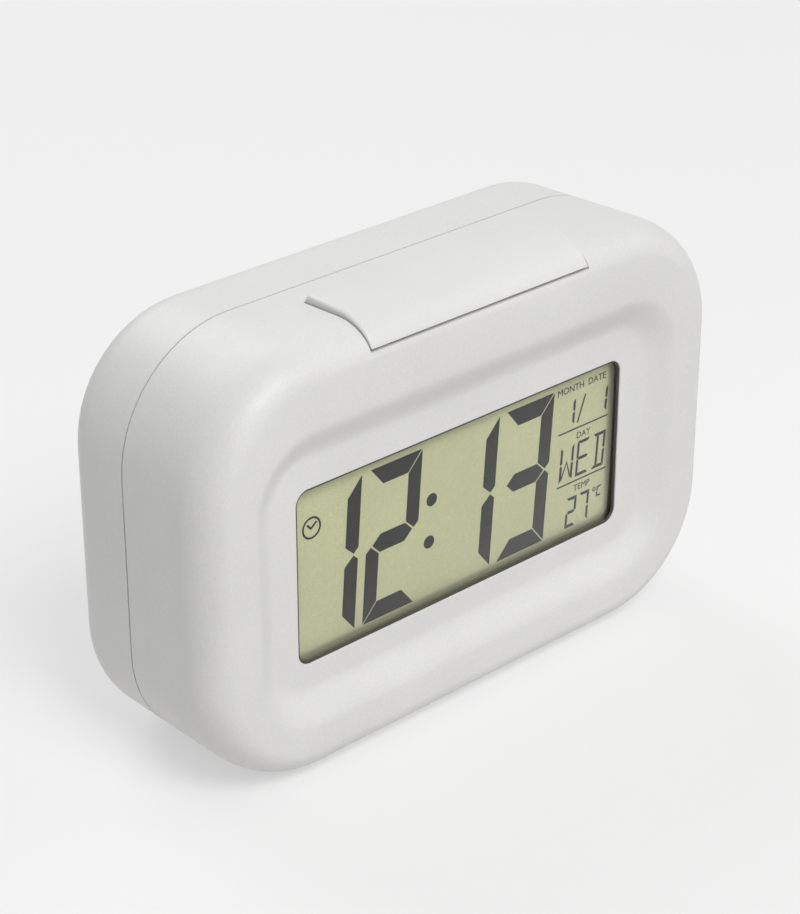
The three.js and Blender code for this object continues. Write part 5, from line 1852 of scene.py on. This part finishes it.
for side, height, pad_x, pad_rise, color in (
    (-1, top_cell, 20.8 - board_edge, 25.55, "red"),
    (1, bottom_cell, board_edge - 26.8, 7.55, "black"),
):
    tab_x = side * (bay_half - 0.3)
    pad_z = board_base + pad_rise
    start = bay_front - 4.3
    lead(
        f"battery_lead_{color}",
        f"battery_wire_{color}",
        lead_red if color == "red" else lead_black,
        [
            (tab_x, start, height),
            (tab_x, start - 2, height),
            ((tab_x + pad_x) / 2, (start + pad_depth) / 2, (height + pad_z) / 2 + side * 2),
            (pad_x, pad_depth + 2.5, pad_z),
            (pad_x, pad_depth, pad_z),
        ],
    )

sounder_start, sounder_pad_z = front_face - 0.3, board_base + 35.55
for offset, pad_x, color in ((2, board_edge - 16.8, "red"), (-2, board_edge - 22.8, "black")):
    wire_x = sound_x + offset
    lead(
        f"sounder_lead_{color}",
        f"buzzer_wire_{color}",
        lead_red if color == "red" else lead_black,
        [
            (wire_x, sounder_start, sound_z),
            (wire_x, sounder_start - 3, sound_z),
            ((wire_x + pad_x) / 2, (sounder_start + pad_depth) / 2, (sound_z + sounder_pad_z) / 2),
            (pad_x, pad_depth + 3, sounder_pad_z),
            (pad_x, pad_depth, sounder_pad_z),
        ],
    )

# The flat cable from the key board to the main board: eight grey insulated conductors moulded side by side,
# bent in an S and soldered at both ends.
key_board_front = around("key_board")[0][1] - 0.3
ribbon_start, ribbon_base = board_right[1] + 0.3, (board_left[2] + board_right[2]) / 2 + 10
bend_share, ribbon_steps = 0.45, 32
ribbon_bend = (key_board_front - ribbon_start) * bend_share
conductors, conductor_pitch = 8, 1.25
ribbon_line = []
for step in range(ribbon_steps + 1):
    t = step / ribbon_steps
    weights = ((1 - t) ** 3, 3 * t * (1 - t) ** 2, 3 * t * t * (1 - t), t**3)
    depths = (ribbon_start, ribbon_start + ribbon_bend, key_board_front - ribbon_bend, key_board_front)
    heights = (ribbon_base, ribbon_base, key_height, key_height)
    depth = sum(weight * d for weight, d in zip(weights, depths))
    height = sum(weight * h for weight, h in zip(weights, heights))
    ribbon_line.append((depth, height))
conductor_radius = 0.4
web_angle = 17.5
ribbon_section = []
for facing in (1, -1):
    for count in range(conductors)[::facing]:
        centre = (count - (conductors - 1) / 2) * conductor_pitch
        for angle in (180 - web_angle, 130, 90, 50, web_angle):
            turn = math.radians(angle)
            across = facing * conductor_radius * math.cos(turn)
            ribbon_section.append((centre + across, facing * conductor_radius * math.sin(turn)))
ribbon_rows = []
for step, (depth, z) in enumerate(ribbon_line):
    before, after = ribbon_line[max(step - 1, 0)], ribbon_line[min(step + 1, len(ribbon_line) - 1)]
    run, climb = after[0] - before[0], after[1] - before[1]
    length = math.hypot(run, climb)
    ribbon_rows.append(
        [
            (u * mm, crest + (depth - v * climb / length) * mm, (z + v * run / length) * mm)
            for u, v in ribbon_section
        ]
    )
ribbon = drawn_out("flat_cable", ribbon_rows)
smooth(ribbon, 50)
ribbon.data.materials.append(moulded("grey_insulation", (0.5, 0.5, 0.5), 0.45, 0.3, 0.006, 0.12))
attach(ribbon, "housing")
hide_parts("ribbon_cable")

# The battery door: a flat white plate in its opening, tilted out on two feet at its lower edge. Two slots
# free the latch tongue in its upper edge, which has a thumb scoop to press it down by.
door_inner = back_inner + 0.1
door = plate("door_plate", door_half, door_low, door_high, 1.5, door_inner, depth_mm, soft=0.2)
foot_x, foot_half, foot_front, foot_drop, foot_rise = 15, 3, 42.8, 1.4, 2.4
feet = []
for side in (-1, 1):
    x = side * foot_x
    foot = block(
        "foot",
        (x - foot_half, foot_front, door_low - foot_drop),
        (x + foot_half, door_inner + 0.3, door_low + foot_rise),
    )
    wall_room = block("wall_room", (x - 4, foot_front + 1, door_low - 3), (x + 4, 46, door_low + 0.2))
    combine(foot, "DIFFERENCE", [wall_room])
    feet.append(foot)
combine(door, "UNION", feet)
tongue_half, tongue_length, slot_width = 5, 9, 0.8
slots = []
for side in (-1, 1):
    near, far = side * tongue_half, side * (tongue_half + slot_width)
    slots.append(block("slot", (near, 43, door_high - tongue_length), (far, 47, door_high + 1)))
scoop_radius, scoop_depth = 8, 0.9
scoop_reach = tongue_half + slot_width / 2
scoop = rod("scoop", scoop_radius, 0, 0, 0, 2 * scoop_reach, 160)
laid_across(scoop, -scoop_reach, depth_mm + scoop_radius - scoop_depth, door_high - tongue_length / 2)
combine(door, "DIFFERENCE", [*slots, scoop])
smooth(door)
door.data.materials.append(case_white)
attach(door, "door")
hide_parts("battery_door")

# The printing on the back: the plain name of each key under it, and on the door an arrow that points to its
# latch. One layer of grey ink, pad printed on the case and on the door.
print_depth, print_thickness = depth_mm - 0.01, 0.04
letter_height, name_drop, arrow_drop, arrow_radius = 2, 7.8, 3, 1.8
names = [
    lettering(name.upper(), x, print_depth, key_height - name_drop, letter_height, math.pi)
    for name, x in key_places.items()
]
bpy.ops.mesh.primitive_circle_add(
    vertices=3,
    radius=arrow_radius * mm,
    fill_type="NGON",
    location=(0, crest + print_depth * mm, (door_high - tongue_length - arrow_drop) * mm),
    rotation=(math.pi / 2, 0, 0),
)
arrow = bpy.context.object
bpy.ops.object.transform_apply(location=True, rotation=True, scale=True)
print_grey = moulded("print_grey", (0.13, 0.135, 0.14), 0.6, 0.1, 0.003, 0.12)
for layer, body in (
    (ink_layer("key_names", names, print_thickness), "housing"),
    (ink_layer("door_arrow", [arrow], print_thickness), "door"),
):
    layer.data.materials.append(print_grey)
    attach(layer, body)
